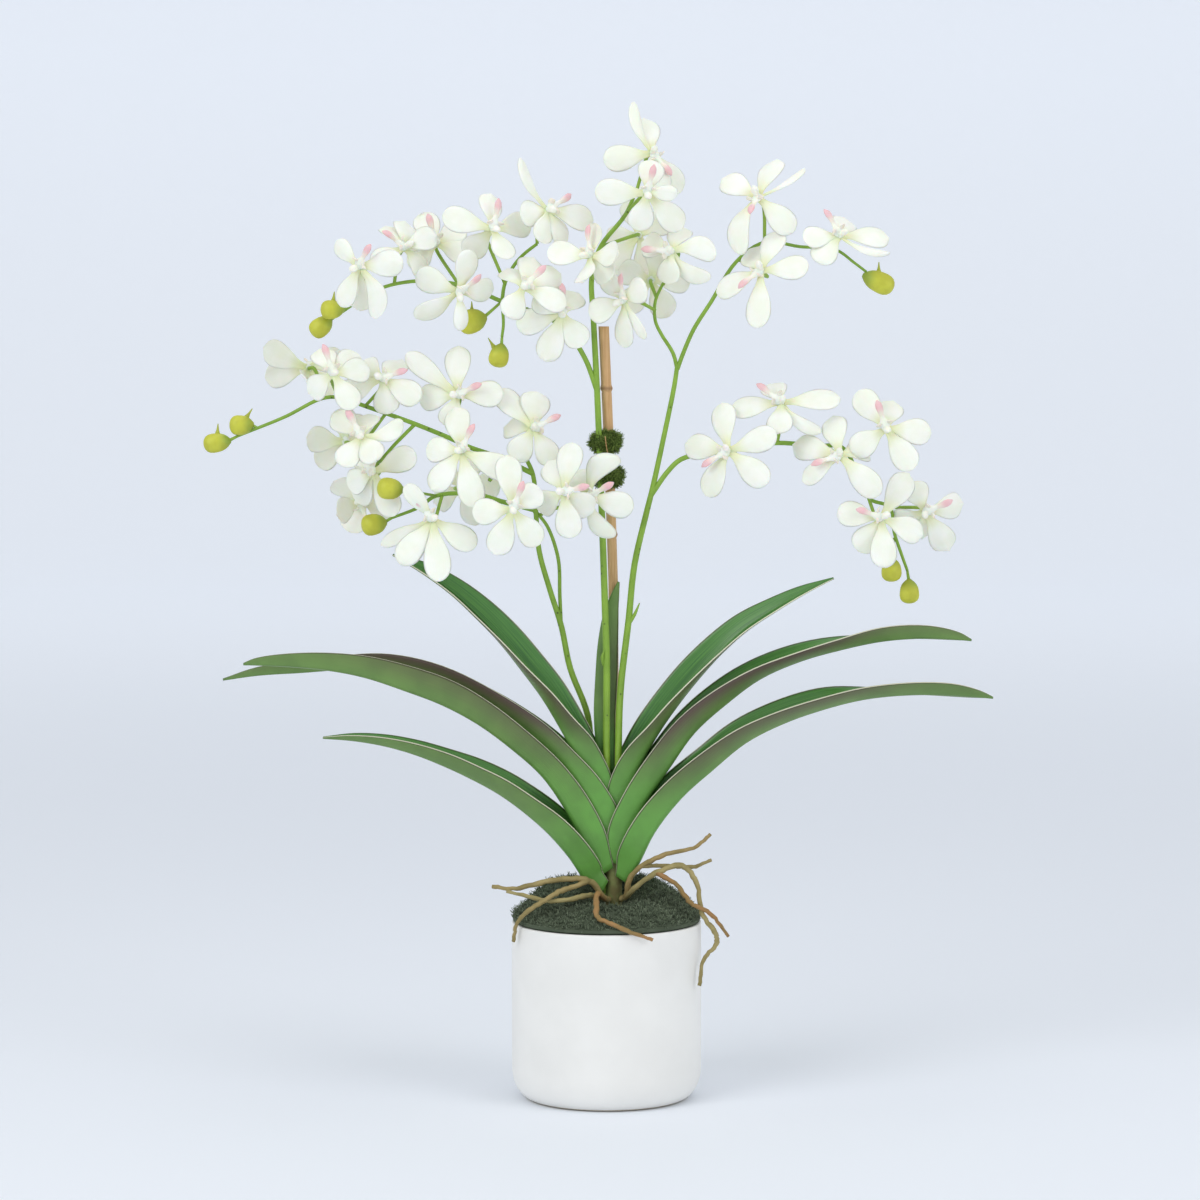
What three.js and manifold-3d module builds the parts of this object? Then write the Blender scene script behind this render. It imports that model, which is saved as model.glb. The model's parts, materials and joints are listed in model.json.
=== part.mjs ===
// A potted vanda orchid: a white ceramic cachepot with a mound of moss, a fan of folded
// strap leaves on a short stem, three flower stems with 39 open blooms, and a bamboo stake.
// Units are millimetres, +Z is up, the front is -Y, and the origin is the centre of the
// pot's flat foot.

import * as THREE from 'three';
import { mergeVertices } from 'three/addons/utils/BufferGeometryUtils.js';
import Module from 'manifold-3d';

const wasm = await Module();
wasm.setup();

// Driving dimensions
const GAP = 0.3;              // clearance between pieces that touch
const POT_RADIUS = 65;
const POT_HEIGHT = 122;
const POT_WALL = 3.5;
const POT_FOOT_RADIUS = 51;
const POT_SEGMENTS = 36;
const FILL_TOP = 104;         // top of the growing medium inside the pot
const MOSS_RIM = 65.6;        // the moss swells just past the rim
const MOSS_RISE = 22;         // height of the mound above its edge
const STEM_X = 5;             // axis of the main stem
const STEM_RADIUS = 6;
const STEM_FOOT = 92;
const STEM_TOP = 170;
const LEAF_THICKNESS = 1.2;
const TEPAL_THICKNESS = 1.5;
const PEDICEL_RADIUS = 1.15;
const STAKE_RADIUS = 3.6;
const STAKE_FOOT = 60;

// Colours, as the eye sees them in daylight
const finish = (color, roughness) => new THREE.MeshStandardMaterial({ color, roughness, metalness: 0 });
const CERAMIC = finish(0xf1f0ec, 0.55);
const MEDIUM = finish(0x4a3a28, 0.95);
const MOSS = finish(0x4f5a3c, 0.95);
const LEAF = finish(0x5d8040, 0.4);
const STEM_GREEN = finish(0x7c9a3a, 0.5);
const PETAL = finish(0xf2f1e2, 0.5);
const ROOT = finish(0xb8a673, 0.75);
const CANE = finish(0xd8b27c, 0.6);
const TUFT = finish(0x53702f, 0.95);
const RAFFIA = finish(0xc9a36a, 0.8);
const CAUDEX = finish(0x7d8a4e, 0.8);

const object = new THREE.Group();
const v3 = (x, y, z) => new THREE.Vector3(x, y, z);
const rad = THREE.MathUtils.degToRad;
const mix = THREE.MathUtils.lerp;

// A closed solid from shared vertices and triangles, with its faces turned outward
function solid(points, triangles) {
  const vertProperties = new Float32Array(points.flatMap((p) => [p.x, p.y, p.z]));
  let volume = 0;
  for (const [a, b, c] of triangles) {
    volume += points[a].dot(v3(0, 0, 0).crossVectors(points[b], points[c]));
  }
  const faces = volume < 0 ? triangles.map(([a, b, c]) => [a, c, b]) : triangles;
  const triVerts = new Uint32Array(faces.flat());
  return new wasm.Manifold(new wasm.Mesh({ numProp: 3, vertProperties, triVerts }));
}

function solidOf(geometry) {
  const bare = geometry.clone();
  bare.deleteAttribute('normal');
  bare.deleteAttribute('uv');
  const merged = mergeVertices(bare, 1e-4);
  const position = merged.attributes.position;
  const points = [];
  for (let i = 0; i < position.count; i += 1) {
    points.push(v3(position.getX(i), position.getY(i), position.getZ(i)));
  }
  const triangles = [];
  for (let i = 0; i < merged.index.count; i += 3) {
    const face = [merged.index.getX(i), merged.index.getX(i + 1), merged.index.getX(i + 2)];
    if (new Set(face).size === 3) triangles.push(face);
  }
  return solid(points, triangles);
}

function geometryOf(manifold) {
  const { vertProperties, triVerts, numProp } = manifold.getMesh();
  const positions = [];
  for (let i = 0; i < vertProperties.length; i += numProp) {
    positions.push(vertProperties[i], vertProperties[i + 1], vertProperties[i + 2]);
  }
  const geometry = new THREE.BufferGeometry();
  geometry.setAttribute('position', new THREE.Float32BufferAttribute(positions, 3));
  geometry.setIndex(Array.from(triVerts));
  geometry.computeVertexNormals();
  return geometry;
}

function place(name, manifold, material) {
  const mesh = new THREE.Mesh(geometryOf(manifold), material);
  mesh.name = name;
  object.add(mesh);
  return mesh;
}

const join = (solids) => solids.reduce((whole, next) => whole.add(next));

// A skin through rings of equally many points, with a point fan over each end. The squares
// of the steps in `turned` are cut along their other diagonal.
function loft(rings, turned = new Set()) {
  const sides = rings[0].length;
  const points = rings.flat();
  const triangles = [];
  for (let r = 0; r + 1 < rings.length; r += 1) {
    for (let i = 0; i < sides; i += 1) {
      const j = (i + 1) % sides;
      const a = r * sides + i;
      const b = r * sides + j;
      if (turned.has(i)) triangles.push([a, b, a + sides], [b, b + sides, a + sides]);
      else triangles.push([a, b, b + sides], [a, b + sides, a + sides]);
    }
  }
  const centre = (ring) => ring.reduce((sum, p) => sum.add(p), v3(0, 0, 0)).divideScalar(sides);
  const foot = points.push(centre(rings[0])) - 1;
  const head = points.push(centre(rings[rings.length - 1])) - 1;
  const last = (rings.length - 1) * sides;
  for (let i = 0; i < sides; i += 1) {
    const j = (i + 1) % sides;
    triangles.push([foot, j, i], [head, last + i, last + j]);
  }
  return solid(points, triangles);
}

// Unit vectors across a path at each of its points, carried along without twist
function framesAlong(path) {
  const frames = [];
  let across = null;
  path.forEach((point, i) => {
    const before = path[Math.max(i - 1, 0)];
    const after = path[Math.min(i + 1, path.length - 1)];
    const along = after.clone().sub(before).normalize();
    if (!across) {
      across = Math.abs(along.y) < 0.9 ? v3(0, 1, 0) : v3(1, 0, 0);
    }
    across = across.clone().addScaledVector(along, -across.dot(along)).normalize();
    frames.push({ along, across, other: v3(0, 0, 0).crossVectors(along, across) });
  });
  return frames;
}

// A round stem through hand-placed points; radii run from the first point to the last
function rod(path, radii, sides = 6) {
  const points = path.map((p) => (p.isVector3 ? p : v3(...p)));
  const frames = framesAlong(points);
  const rings = points.map((point, i) => {
    const at = (i / (points.length - 1)) * (radii.length - 1);
    const low = Math.floor(at);
    const radius = mix(radii[low], radii[Math.min(low + 1, radii.length - 1)], at - low);
    return Array.from({ length: sides }, (_, k) => {
      const angle = (2 * Math.PI * k) / sides;
      return point.clone()
        .addScaledVector(frames[i].across, radius * Math.cos(angle))
        .addScaledVector(frames[i].other, radius * Math.sin(angle));
    });
  });
  return loft(rings);
}

// A smooth curve through the points, cut into even steps
function smooth(path, steps) {
  return new THREE.CatmullRomCurve3(path.map((p) => v3(...p)), false, 'centripetal').getPoints(steps);
}

// Pot: a thin-walled ceramic cylinder with a rounded foot and a soft lip
{
  const inner = POT_RADIUS - POT_WALL;
  const profile = [
    [0, 0], [POT_FOOT_RADIUS, 0], [55.5, 2], [60.5, 6.5], [63.8, 13], [POT_RADIUS, 21],
    [POT_RADIUS, POT_HEIGHT - 1], [POT_RADIUS - 1, POT_HEIGHT], [inner + 0.8, POT_HEIGHT],
    [inner, POT_HEIGHT - 1], [inner, 22], [56, 9], [48, 5], [0, 5],
  ].map(([r, z]) => new THREE.Vector2(r, z));
  const lathe = new THREE.LatheGeometry(profile, POT_SEGMENTS).rotateX(Math.PI / 2);
  place('pot', solidOf(lathe), CERAMIC);
}

// Height of the mound of moss over a point of the pot
function mossHeight(x, y) {
  const r = Math.min(Math.hypot(x, y) / MOSS_RIM, 1);
  const bump = (cx, cy, height, spread) => (
    height * Math.exp(-((x - cx) ** 2 + (y - cy) ** 2) / (2 * spread * spread)));
  const lumps = 1.6 * Math.sin(0.19 * x + 0.7) * Math.cos(0.17 * y) + 1.1 * Math.sin(0.31 * y + 0.11 * x);
  const heaps = bump(-37, 24, 9, 13) + bump(34, 24, 9, 13) + bump(0, 36, 6, 14) + bump(52, 4, 4, 9);
  const dip = bump(STEM_X, -2, 18, 14);
  return POT_HEIGHT + 2.4 + (MOSS_RISE + 0.14 * y) * (1 - r * r) ** 0.8
    + (lumps + heaps) * (1 - r ** 4) - dip;
}

// The stake leans back as it goes down, and clears the backs of the leaf bases
const STAKE_PATH = [[7, 22.5, STAKE_FOOT], [6, 19, 190], [4.5, 11, 354], [1.5, 6.6, 450], [-2, 3.2, 529]];
const stakeSolid = (grow) => rod(STAKE_PATH, [2.9 + grow, 3.2 + grow, STAKE_RADIUS + grow], 8);

// Main shafts of the flower stems. The left one leaves the foot of the main stem and rises
// behind the fan; the centre one stands on the main stem's top, in the heart of the fan.
const LEFT_ROUTE = [
  [1, 10.8, 133], [-1, 17.5, 143], [-4, 19.2, 165], [-7, 19, 190], [-10, 18, 225], [-13, 15, 262],
  [-25, 12, 295], [-31, 10, 324], [-39, 7, 350], [-46, 4, 376], [-48, 1, 400], [-50, 0, 428], [-56, 0, 442],
];
const CENTRE_ROUTE = [
  [2.2, -2.6, STEM_TOP + GAP], [0, -2.6, 234], [0, -2.5, 300], [-1, -2.2, 335], [-3, -1.8, 395],
  [-5, -1, 450], [-7, -0.6, 496], [-9, -0.4, 535], [-10, 0, 563], [-4, 0, 583], [13, 0, 605], [20, 0, 621],
];
const leftStem = (grow) => rod(smooth(LEFT_ROUTE, 14), [2.5, 2.4, 2.3, 2.1, 1.9, 1.7, 1.4].map((r) => r + grow));
const centreStem = (grow) => rod(smooth(CENTRE_ROUTE, 14), [2.5, 2.4, 2.2, 2, 1.7, 1.2].map((r) => r + grow));

// Growing medium: fills the pot from its floor, with plain holes for the stem and the stake
{
  const fit = 0.4;
  const inner = POT_RADIUS - POT_WALL - fit;
  const profile = [
    [0, 5 + fit], [47.5, 5 + fit], [55.2, 9.6 + fit], [inner, 22.5], [inner, FILL_TOP], [0, FILL_TOP],
  ].map(([r, z]) => new THREE.Vector2(r, z));
  const fill = solidOf(new THREE.LatheGeometry(profile, 20).rotateX(Math.PI / 2));
  const stemHole = rod([[STEM_X, 0, STEM_FOOT - 1], [STEM_X, 0, FILL_TOP + 9]], [STEM_RADIUS + GAP], 12);
  place('growing_medium', fill.subtract(stemHole).subtract(stakeSolid(GAP)), MEDIUM);
}

// Moss bed: one lumpy cushion that swells over the rim
{
  const around = 22;
  const inner = POT_RADIUS - POT_WALL - 0.5;
  const rings = [];
  const ring = (radius, height) => rings.push(Array.from({ length: around }, (_, k) => {
    const angle = (2 * Math.PI * k) / around;
    const x = radius * Math.cos(angle);
    const y = radius * Math.sin(angle);
    return v3(x, y, height === null ? mossHeight(x, y) : height);
  }));
  ring(inner, FILL_TOP + GAP);
  ring(inner, POT_HEIGHT + 0.5);
  ring(MOSS_RIM, POT_HEIGHT + 0.9);
  ring(MOSS_RIM, null);
  [60, 51, 40, 28, 15].forEach((radius) => ring(radius, null));
  const mound = loft(rings);
  const stemHole = rod([[STEM_X, 0, FILL_TOP - 3], [STEM_X, 0, 190]], [STEM_RADIUS + GAP], 12);
  const holes = stemHole.add(stakeSolid(GAP)).add(leftStem(GAP));
  place('moss_bed', mound.subtract(holes), MOSS);
}

// Main stem: the short thick stem that carries the fan
place('main_stem', rod([
  [STEM_X, 0, STEM_FOOT], [STEM_X, 0, 110], [STEM_X, 0, 150], [STEM_X, 0, STEM_TOP],
], [STEM_RADIUS - 0.6, STEM_RADIUS, STEM_RADIUS, STEM_RADIUS], 12), CAUDEX);

// Leaves. Each is a strap folded along its keel. A station of a leaf is
// [x, z, width of one half, angle of the near half, angle of the far half, y of the keel].
// An angle of 0 stands in the plane of the fan, 90 points at the viewer, -90 away.
// Near the stem the fold is a flat-bottomed trough, and each trough holds the next leaf's.
const TROUGH_START = 6.9;
const TROUGH_STEP = 1.56;
const TROUGH_GROWTH = 0.26;
const TROUGH_LEAST = 0.75;                    // the halves of the innermost leaf lie face to face
const TURNED_SQUARES = new Set([3, 4, 8, 9]); // both faces of a half are cut alike, and stay apart

function leaf(name, side, rank, stations) {
  const full = Math.max(TROUGH_LEAST, 6.3 + TROUGH_STEP * rank);
  const startHeight = stations[0][1];
  const keel = stations.map(([x, z, , , , y = 0]) => v3(x, y, z));
  const rings = stations.map(([, z, width, near, far], i) => {
    const before = keel[Math.max(i - 1, 0)];
    const after = keel[Math.min(i + 1, keel.length - 1)];
    const along = after.clone().sub(before).setY(0).normalize();
    const inward = v3(-along.z, 0, along.x).multiplyScalar(side);
    const grown = Math.min(full, Math.min(TROUGH_START, full) + TROUGH_GROWTH * Math.max(0, z - startHeight));
    const away = Math.hypot(keel[i].x - STEM_X, keel[i].z - startHeight);
    const open = 1 - THREE.MathUtils.smoothstep(away, 30, 110);
    const breadth = Math.min(mix(0.8, grown, open), 0.2 + width * 0.9);
    const half = LEAF_THICKNESS / 2 * Math.min(1, 0.62 + width * 0.05);
    // Outline of one half, from the keel to the margin, on the under side and the inner side
    const outline = (sign, degrees) => {
      const lean = rad(degrees) * sign;
      const point = (u, b) => keel[i].clone().addScaledVector(inward, u).add(v3(0, -sign * b, 0));
      const corner = 0.12 * breadth;
      const tip = [corner + width * Math.cos(lean), breadth + width * Math.sin(lean)];
      const skew = [-Math.sin(lean), Math.cos(lean)];
      const under = [
        point(corner + skew[0] * half - 0.2 * half, breadth + skew[1] * half),
        point(tip[0] + skew[0] * half * 0.6, tip[1] + skew[1] * half * 0.6),
      ];
      const inside = [
        point(tip[0] - skew[0] * half * 0.6, tip[1] - skew[1] * half * 0.6),
        point(corner - skew[0] * half + 0.2 * half, breadth - skew[1] * half),
      ];
      return { under, inside };
    };
    const front = outline(1, near);
    const back = outline(-1, far);
    const keelUnder = keel[i].clone().addScaledVector(inward, -half * 1.3);
    const keelInside = keel[i].clone().addScaledVector(inward, half * 1.1);
    return [
      keelUnder, ...front.under, ...front.inside, keelInside,
      ...back.inside.slice().reverse(), ...back.under.slice().reverse(),
    ];
  });
  place(name, loft(rings, TURNED_SQUARES), LEAF);
}

leaf('leaf_right_1', 1, 5, [
  [13.2, 149, 8, 0, 0], [21, 160, 15, 2, -2], [33, 184, 16.5, 15, -8], [51, 207, 17.5, 28, -5],
  [72, 226, 17.5, 33, -3], [95, 245, 17, 45, -10], [120, 258, 16.5, 52, -16], [148, 268, 16, 55, -30],
  [176, 275, 14.5, 52, -62], [205, 278, 13, 46, -88], [234, 278, 10, 34, -102], [254, 276.5, 5, 20, -104],
  [264, 275.5, 1, 10, -100],
]);
leaf('leaf_right_2', 1, 3, [
  [12.8, 161, 8, 0, 0], [17, 178, 16, 2, -3], [27, 204, 16.5, 15, -6], [43, 228, 17.5, 18, -3],
  [60, 252, 17, 28, -3], [82, 272, 17, 40, -16], [105, 289, 16, 54, -34], [132, 301, 15, 60, -42],
  [160, 309, 14, 54, -56], [189, 315, 12.5, 38, -82], [218, 317, 9.5, 22, -98], [240, 316, 5, 10, -102],
  [249, 315, 1, 6, -100],
]);
leaf('leaf_right_3', 1, 1, [
  [11.6, 177, 8, 0, 0], [13, 190, 14, 0, 0], [16, 210, 15, 0, 0], [24, 231, 16, 26, -8],
  [35, 251, 17, 55, -2], [48, 270, 17, 66, -6], [62, 288, 16.5, 75, -8], [78, 306, 15, 82, -14],
  [95, 322, 13, 86, -20], [114, 335, 10, 88, -25], [134, 347, 6.5, 89, -34], [155, 357.5, 1, 88, -40],
]);
leaf('leaf_left_1', -1, 6, [
  [-3.2, 143, 8, 0, 0], [-14, 150, 14, 2, -2], [-26, 167, 16, 18, -4], [-40, 183, 17, 30, -3],
  [-56, 197, 17, 40, -4], [-74, 210, 16.5, 43, -14], [-92, 220, 15.5, 45, -24], [-111, 229, 13.5, 42, -34],
  [-131, 237, 11, 43, -35], [-152, 243, 8.5, 45, -36], [-173, 246.5, 5.5, 46, -36], [-194, 248, 1, 40, -36],
]);
leaf('leaf_left_2', -1, 4, [
  [-2.6, 155, 8, 0, 0], [-15, 174, 16, 2, -3], [-28, 199, 17, 4, -8], [-44, 222, 16.5, 14, -22],
  [-65, 241, 17, 16, -42], [-88, 258, 17.5, 12, -56], [-112, 271, 18, 4, -64], [-138, 281, 17, 0, -72],
  [-165, 290, 14.5, 0, -92], [-193, 295.5, 11.5, 4, -98], [-222, 298, 8, 6, -100], [-240, 298.5, 4.5, 4, -100],
  [-248, 298.5, 1.2, 4, -100],
]);
leaf('leaf_left_3', -1, 2, [
  [-2, 168, 8, 0, 0], [-5, 188, 14.5, 0, 0, 0], [-16, 210, 15, 10, -6, 0.5], [-32, 230, 14.5, 22, -14, 2],
  [-50, 247, 14, 18, -18, 5], [-83, 268, 14, 18, -30, 12], [-117, 284, 13.5, 14, -40, 18],
  [-150, 292, 12, 8, -52, 23], [-180, 293, 10, 6, -60, 24], [-210, 291, 8, 4, -66, 24],
  [-240, 289, 5.5, 2, -70, 24], [-264, 285.5, 1, 0, -60, 24],
]);
leaf('leaf_left_4', -1, 0, [
  [-3, 190, 7, 0, 0], [-5, 203, 11, 0, 0], [-10, 218, 13.5, 3, -3], [-21, 236, 16.5, 14, -2],
  [-32, 256, 17.5, 46, -2], [-44, 276, 18, 62, -2], [-58, 295, 17.5, 74, -2], [-73, 314, 16.5, 81, -3],
  [-89, 331, 15, 84, -4], [-106, 347, 12, 84, -6], [-125, 361, 8, 84, -8], [-146, 373.5, 1, 80, -10],
]);
leaf('leaf_centre', -1, -4, [
  [0, 222, 6, 0, 0, 4.1], [-6, 240, 12, 0, -1, 4], [-8, 262, 14, 0, -4, 3.8], [-7, 290, 14.5, 0, -7, 3.8],
  [-5, 315, 13, 0, -10, 3.8], [-1, 335, 9.5, 1, -12, 3.9], [4, 347, 5, 2, -12, 4.1], [8, 355, 1, 2, -10, 4.3],
]);

// Blooms. Each is given by its middle, the way it faces (azimuth from the viewer toward +X,
// elevation), the turn of its lip (0 down, 90 toward +X when it faces the viewer), the way it
// holds its petals, and the branch and point where its pedicel leaves the stem.
const OPEN = { tip: -2.5, arch: 1.2, margin: -1 };
const REFLEXED = { tip: -7, arch: 2.6, margin: -1.6 };
const CUPPED = { tip: 5, arch: -1.6, margin: 1.2 };
const BLOOMS = [
  ['A1', [-204, 20, 500], -150, 0, 240, REFLEXED, 'left', [-192, 0, 480.5]],
  ['A2', [-184, -30, 498], 10, 25, 200, OPEN, 'left', [-182, 0, 480.5]],
  ['A3', [-152, -8, 494], -10, 20, 100, OPEN, 'left', [-164, 0, 475]],
  ['B1', [-165, -34, 456], -10, 20, 210, OPEN, 'left', [-150, 0, 470]],
  ['B2', [-179, 26, 449], -160, 0, 170, REFLEXED, 'left', [-154.5, 8, 437.5]],
  ['B3', [-158, -15, 431], -20, 10, 220, OPEN, 'left', [-152, 5, 440]],
  ['B4', [-168, 14, 410], -10, -20, 20, CUPPED, 'left', [-155.5, 9, 436.5]],
  ['C1', [-101, -9, 483], -10, 10, 110, OPEN, 'left', [-106, 0, 453]],
  ['C2', [-98, -30, 446], -10, 20, 150, OPEN, 'left', [-93, 0, 447]],
  ['C3', [-50, -4, 460], 25, 20, 110, OPEN, 'left', [-54, 0, 437]],
  ['C4', [-63, -50, 408], 10, 10, 160, OPEN, 'left', [-60, -1, 421]],
  ['C5', [-29, -38, 419], -10, 10, 100, OPEN, 'left', [-48, 1, 408]],
  ['C6', [-12, -20, 415], 0, 0, 120, REFLEXED, 'left', [-46, 2.4, 400.6]],
  ['C7', [-117, -34, 400], 0, 25, 230, OPEN, 'left', [-112, 0, 414]],
  ['C8', [-99, 26, 418], 150, 0, 10, CUPPED, 'left', [-89, 0, 415]],
  ['D1', [82, -26, 446], -30, 10, 310, OPEN, 'right', [72, -1, 443]],
  ['D2', [118, -16, 478], -10, 35, 240, OPEN, 'right', [116, 0, 450]],
  ['D3', [157, -31, 443], -20, 20, 300, REFLEXED, 'right', [150, 0, 447.5]],
  ['D4', [188, -28, 461], 0, 10, 200, OPEN, 'right', [163, 0, 442.5]],
  ['D5', [185, -34, 401], 10, 25, 260, OPEN, 'right', [176, 0, 419]],
  ['D6', [216, -9, 404], 10, -10, 120, REFLEXED, 'right', [193, 2, 406]],
  ['E1', [-166, -36, 570], -20, 0, 140, OPEN, 'centre', [-166, 0, 547.5]],
  ['E2', [-137, -6, 582], 30, 35, 245, REFLEXED, 'centre', [-144, 0, 558]],
  ['E3', [-116, 12, 585], 0, 28, 197, CUPPED, 'centre', [-100, 0, 557]],
  ['E4', [-77, -18, 595], 30, 15, 170, OPEN, 'centre', [-69, 0, 558]],
  ['E5', [-40, -10, 608], 50, 10, 118, OPEN, 'centre', [-47, 0, 585]],
  ['E6', [-100, -22, 553], 30, -25, 150, REFLEXED, 'centre', [-88, 0, 552]],
  ['E7', [-56, -31, 556], 20, 20, 130, OPEN, 'centre', [-58, 0, 542]],
  ['E8', [-11, -22, 577], -50, 20, 180, CUPPED, 'centre', [-10, 0, 560]],
  ['F1', [31, 2, 646], 20, 10, 30, OPEN, 'centre', [20, 0, 620]],
  ['F2', [27, -22, 619], 10, 0, 170, OPEN, 'centre', [10, 0, 601.5]],
  ['F3', [22, 27, 591], 170, 0, 50, OPEN, 'centre', [-4, 0, 583]],
  ['F4', [44, -12, 580], -30, 10, 270, OPEN, 'right', [38, 0, 557]],
  ['G1', [12, -16, 547], -50, 0, 160, OPEN, 'right', [33, 0, 540]],
  ['G2', [30, 15, 560], 180, 10, 200, OPEN, 'right', [34, 0, 548]],
  ['H1', [-30, -13, 538], 0, 10, 180, OPEN, 'centre', [-36, 0, 532]],
  ['J1', [102, -12, 616], -30, 35, 10, REFLEXED, 'right', [107, 0, 585]],
  ['J2', [104, -24, 567], -30, 25, 330, OPEN, 'right', [90, 0, 574]],
  ['J3', [157, -14, 590], 20, 40, 210, OPEN, 'right', [153, 0, 580]],
];

// Petals of each bloom. A petal is [x, z, depth, bend, width]: where its tip stands from the
// middle as seen from the front, how far the tip comes toward the viewer, how far the petal
// bows to its left on the way, and its width as a share of the usual one. Where no depth is
// given, the tip lies in the plane of the bloom.
const PETALS = {
  A1: [[-29, 15], [-29, -6, 8], [2, -10, 22], [24, 8], [20, -16, 4]],
  A2: [[16, 13, -20], [24, 3, -12], [15, -23], [-17, -14, -8], [-10, 16, -20]],
  A3: [[-29, -12], [26, -14], [4, -24, 2], [12, 12, -24], [-16, 10, -20]],
  B1: [[-19, 15, -16], [28, 10, -6, -5, 0.7], [-13, -19, 10], [11, -15, 16], [4, 14, -26]],
  B2: [[-26, 4, 18], [-20, -15, 2], [14, 16, -10], [18, -16, -8], [-2, 24, 2]],
  B3: [[29, 13], [15, -29], [-18, -10, -10], [-12, 18, -12], [-12, -22, -18]],
  B4: [[-18, 14, 8], [-16, -9, 14], [-8, -22], [21, -10, 4], [16, 14]],
  C1: [[0, 33], [-35, 28, -2, 0, 0.8], [-27, -3, -8], [31, 1], [-6, -22, 0]],
  C2: [[-4, 29], [-24, 1, -8], [36, -15], [-20, -26], [10, -37]],
  C3: [[2, 25, -8, 0, 1.2], [-24, 26], [-20, 0, -14], [14, -24], [-13, -21, 8]],
  C4: [[-4, 36], [-27, -2], [19, 13, -6], [-12, -30], [18, -24]],
  C5: [[6, 33], [-18, -12, -10], [5, -31], [20, -14, -8], [-10, 20, -14]],
  C6: [[20, 27, 0, 7, 0.9], [30, -8, 6], [17, -28, 0, -5, 0.7], [-18, -14, -4], [-10, 16, -22]],
  C7: [[-18, 24, 4, 0, 0.7], [-36, -18, -14, 0, 0.6], [-22, -29], [5, -40, 20], [29, -18]],
  C8: [[26, 2], [10, -26], [-20, -12], [-16, 18], [10, 24]],
  D1: [[-4, 32], [-29, 3], [32, 12], [-15, -31], [26, -21]],
  D2: [[40, 3], [-34, -5], [27, -20, 4, -4, 0.55], [-2, -20, 14], [-6, 12, -26]],
  D3: [[-31, 6], [-4, 26], [-25, -18, -4, 0, 0.8], [26, -26], [20, 2, -18]],
  D4: [[-19, 25], [31, -3], [-23, -16], [18, -27, 8], [6, 18, -22]],
  D5: [[-30, 4], [20, 29], [28, -12], [-16, -22, 2], [1, -32, 16]],
  D6: [[-9, 20], [27, 5], [18, -28], [-18, -8, -16], [0, -20, -20]],
  E1: [[-16, 17, -12, 0, 0.7], [-12, -27, 0, 0, 0.8], [12, -35, 0, 6, 0.8], [30, 3], [0, -30, -12]],
  E2: [[-13, 15, -20], [0, 18, -22], [22, 9, 2], [14, -18, -4], [-22, -12, 4]],
  E3: [[25, -7], [18, 12, -12], [-18, -16, -2], [-10, 20, -20], [-23, 4, 2]],
  E4: [[-33, 9], [-2, 24, -12], [26, 4, -28], [11, -20, 12], [-18, -18, -8]],
  E5: [[-18, 35, 4, 6, 0.6], [-18, -4, 8], [31, -8, -14], [-4, -22, 10], [12, -24, -6]],
  E6: [[-29, -18], [-28, 12, 4], [2, -26, 4, 0, 0.6], [24, 2, -6], [8, 28, 6]],
  E7: [[25, 9, -22], [29, -12, -4], [-10, -20], [-12, 12, -20], [6, 20, -22]],
  E8: [[-29, 3, -6], [19, 2, 20], [3, 22, -4], [-6, -18, 16], [14, -16, 8]],
  F1: [[-13, 35, -6, 4, 0.5], [-5, 24, -16], [-33, -5], [6, -26, 12], [20, -26, -10]],
  F2: [[-35, 1], [20, 0, 12, 0, 0.6], [-6, -25], [24, -24], [4, 22, -4]],
  F3: [[-22, -4, -8], [8, -28], [-24, -26, 6], [22, 12], [-6, 24]],
  F4: [[30, -2, 4, 4, 0.9], [26, -19, 0, -5, 0.7], [-3, -22], [8, 16, -14], [-20, 6]],
  G1: [[-15, 18, -6], [-24, -10, -4], [0, -32], [14, -26, 8, 0, 0.5], [14, 10, 16]],
  G2: [[12, -25], [-18, -20], [8, 25], [-22, 8], [27, 0]],
  H1: [[-31, -8], [-12, -32], [14, -22], [-19, 12, 4], [10, 14, -20]],
  J1: [[14, 26, -16], [-24, 13, -14], [32, 20, -8, -5, 0.35], [-13, -38, 8, -6], [24, -23, 6]],
  J2: [[31, 3], [-3, -38], [-30, -15], [12, 27], [-8, 14, -22]],
  J3: [[-25, -1], [34, -1, -8], [-16, -17, 14], [34, -11, 4, -6, 0.4], [6, 12, -26]],
};

// Axes of a bloom: the way it faces, the way its lip points, and across
function bloomAxes(azimuth, elevation, roll) {
  const a = rad(azimuth);
  const e = rad(elevation);
  const facing = v3(Math.sin(a) * Math.cos(e), -Math.cos(a) * Math.cos(e), Math.sin(e));
  const down = v3(0, 0, -1).addScaledVector(facing, facing.z).normalize();
  const right = v3(0, 0, 0).crossVectors(facing, down);
  const lip = down.multiplyScalar(Math.cos(rad(roll))).addScaledVector(right, Math.sin(rad(roll)));
  return { facing, lip, across: v3(0, 0, 0).crossVectors(facing, lip) };
}

// One bloom about its middle. Five blades share one core, and the lip and the column are one
// curved finger joined to it.
const CORE_RADIUS = 3.6;
const CORE_HALF = 0.95;
const BLADE_STEPS = [[0.5, 8.8], [0.85, 9]];      // share of the length, half width
const CLEAR_RISE = 8;         // blades this far apart in height may overlap as seen from the front
const NEIGHBOUR_SHARE = 0.46; // of the distance to the next blade

// Column cap, throat with its side lobes, narrow middle and club-shaped tip of the lip:
// distance along the lip, height over the core, half width, half depth
const FINGER = [
  [-3, 8, 1.6, 1.4], [-0.6, 2.5, 3, 2.8], [5.5, 2.6, 4, 2], [12, 6.6, 1.8, 1], [19, 8.2, 2.4, 0.9],
];

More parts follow.
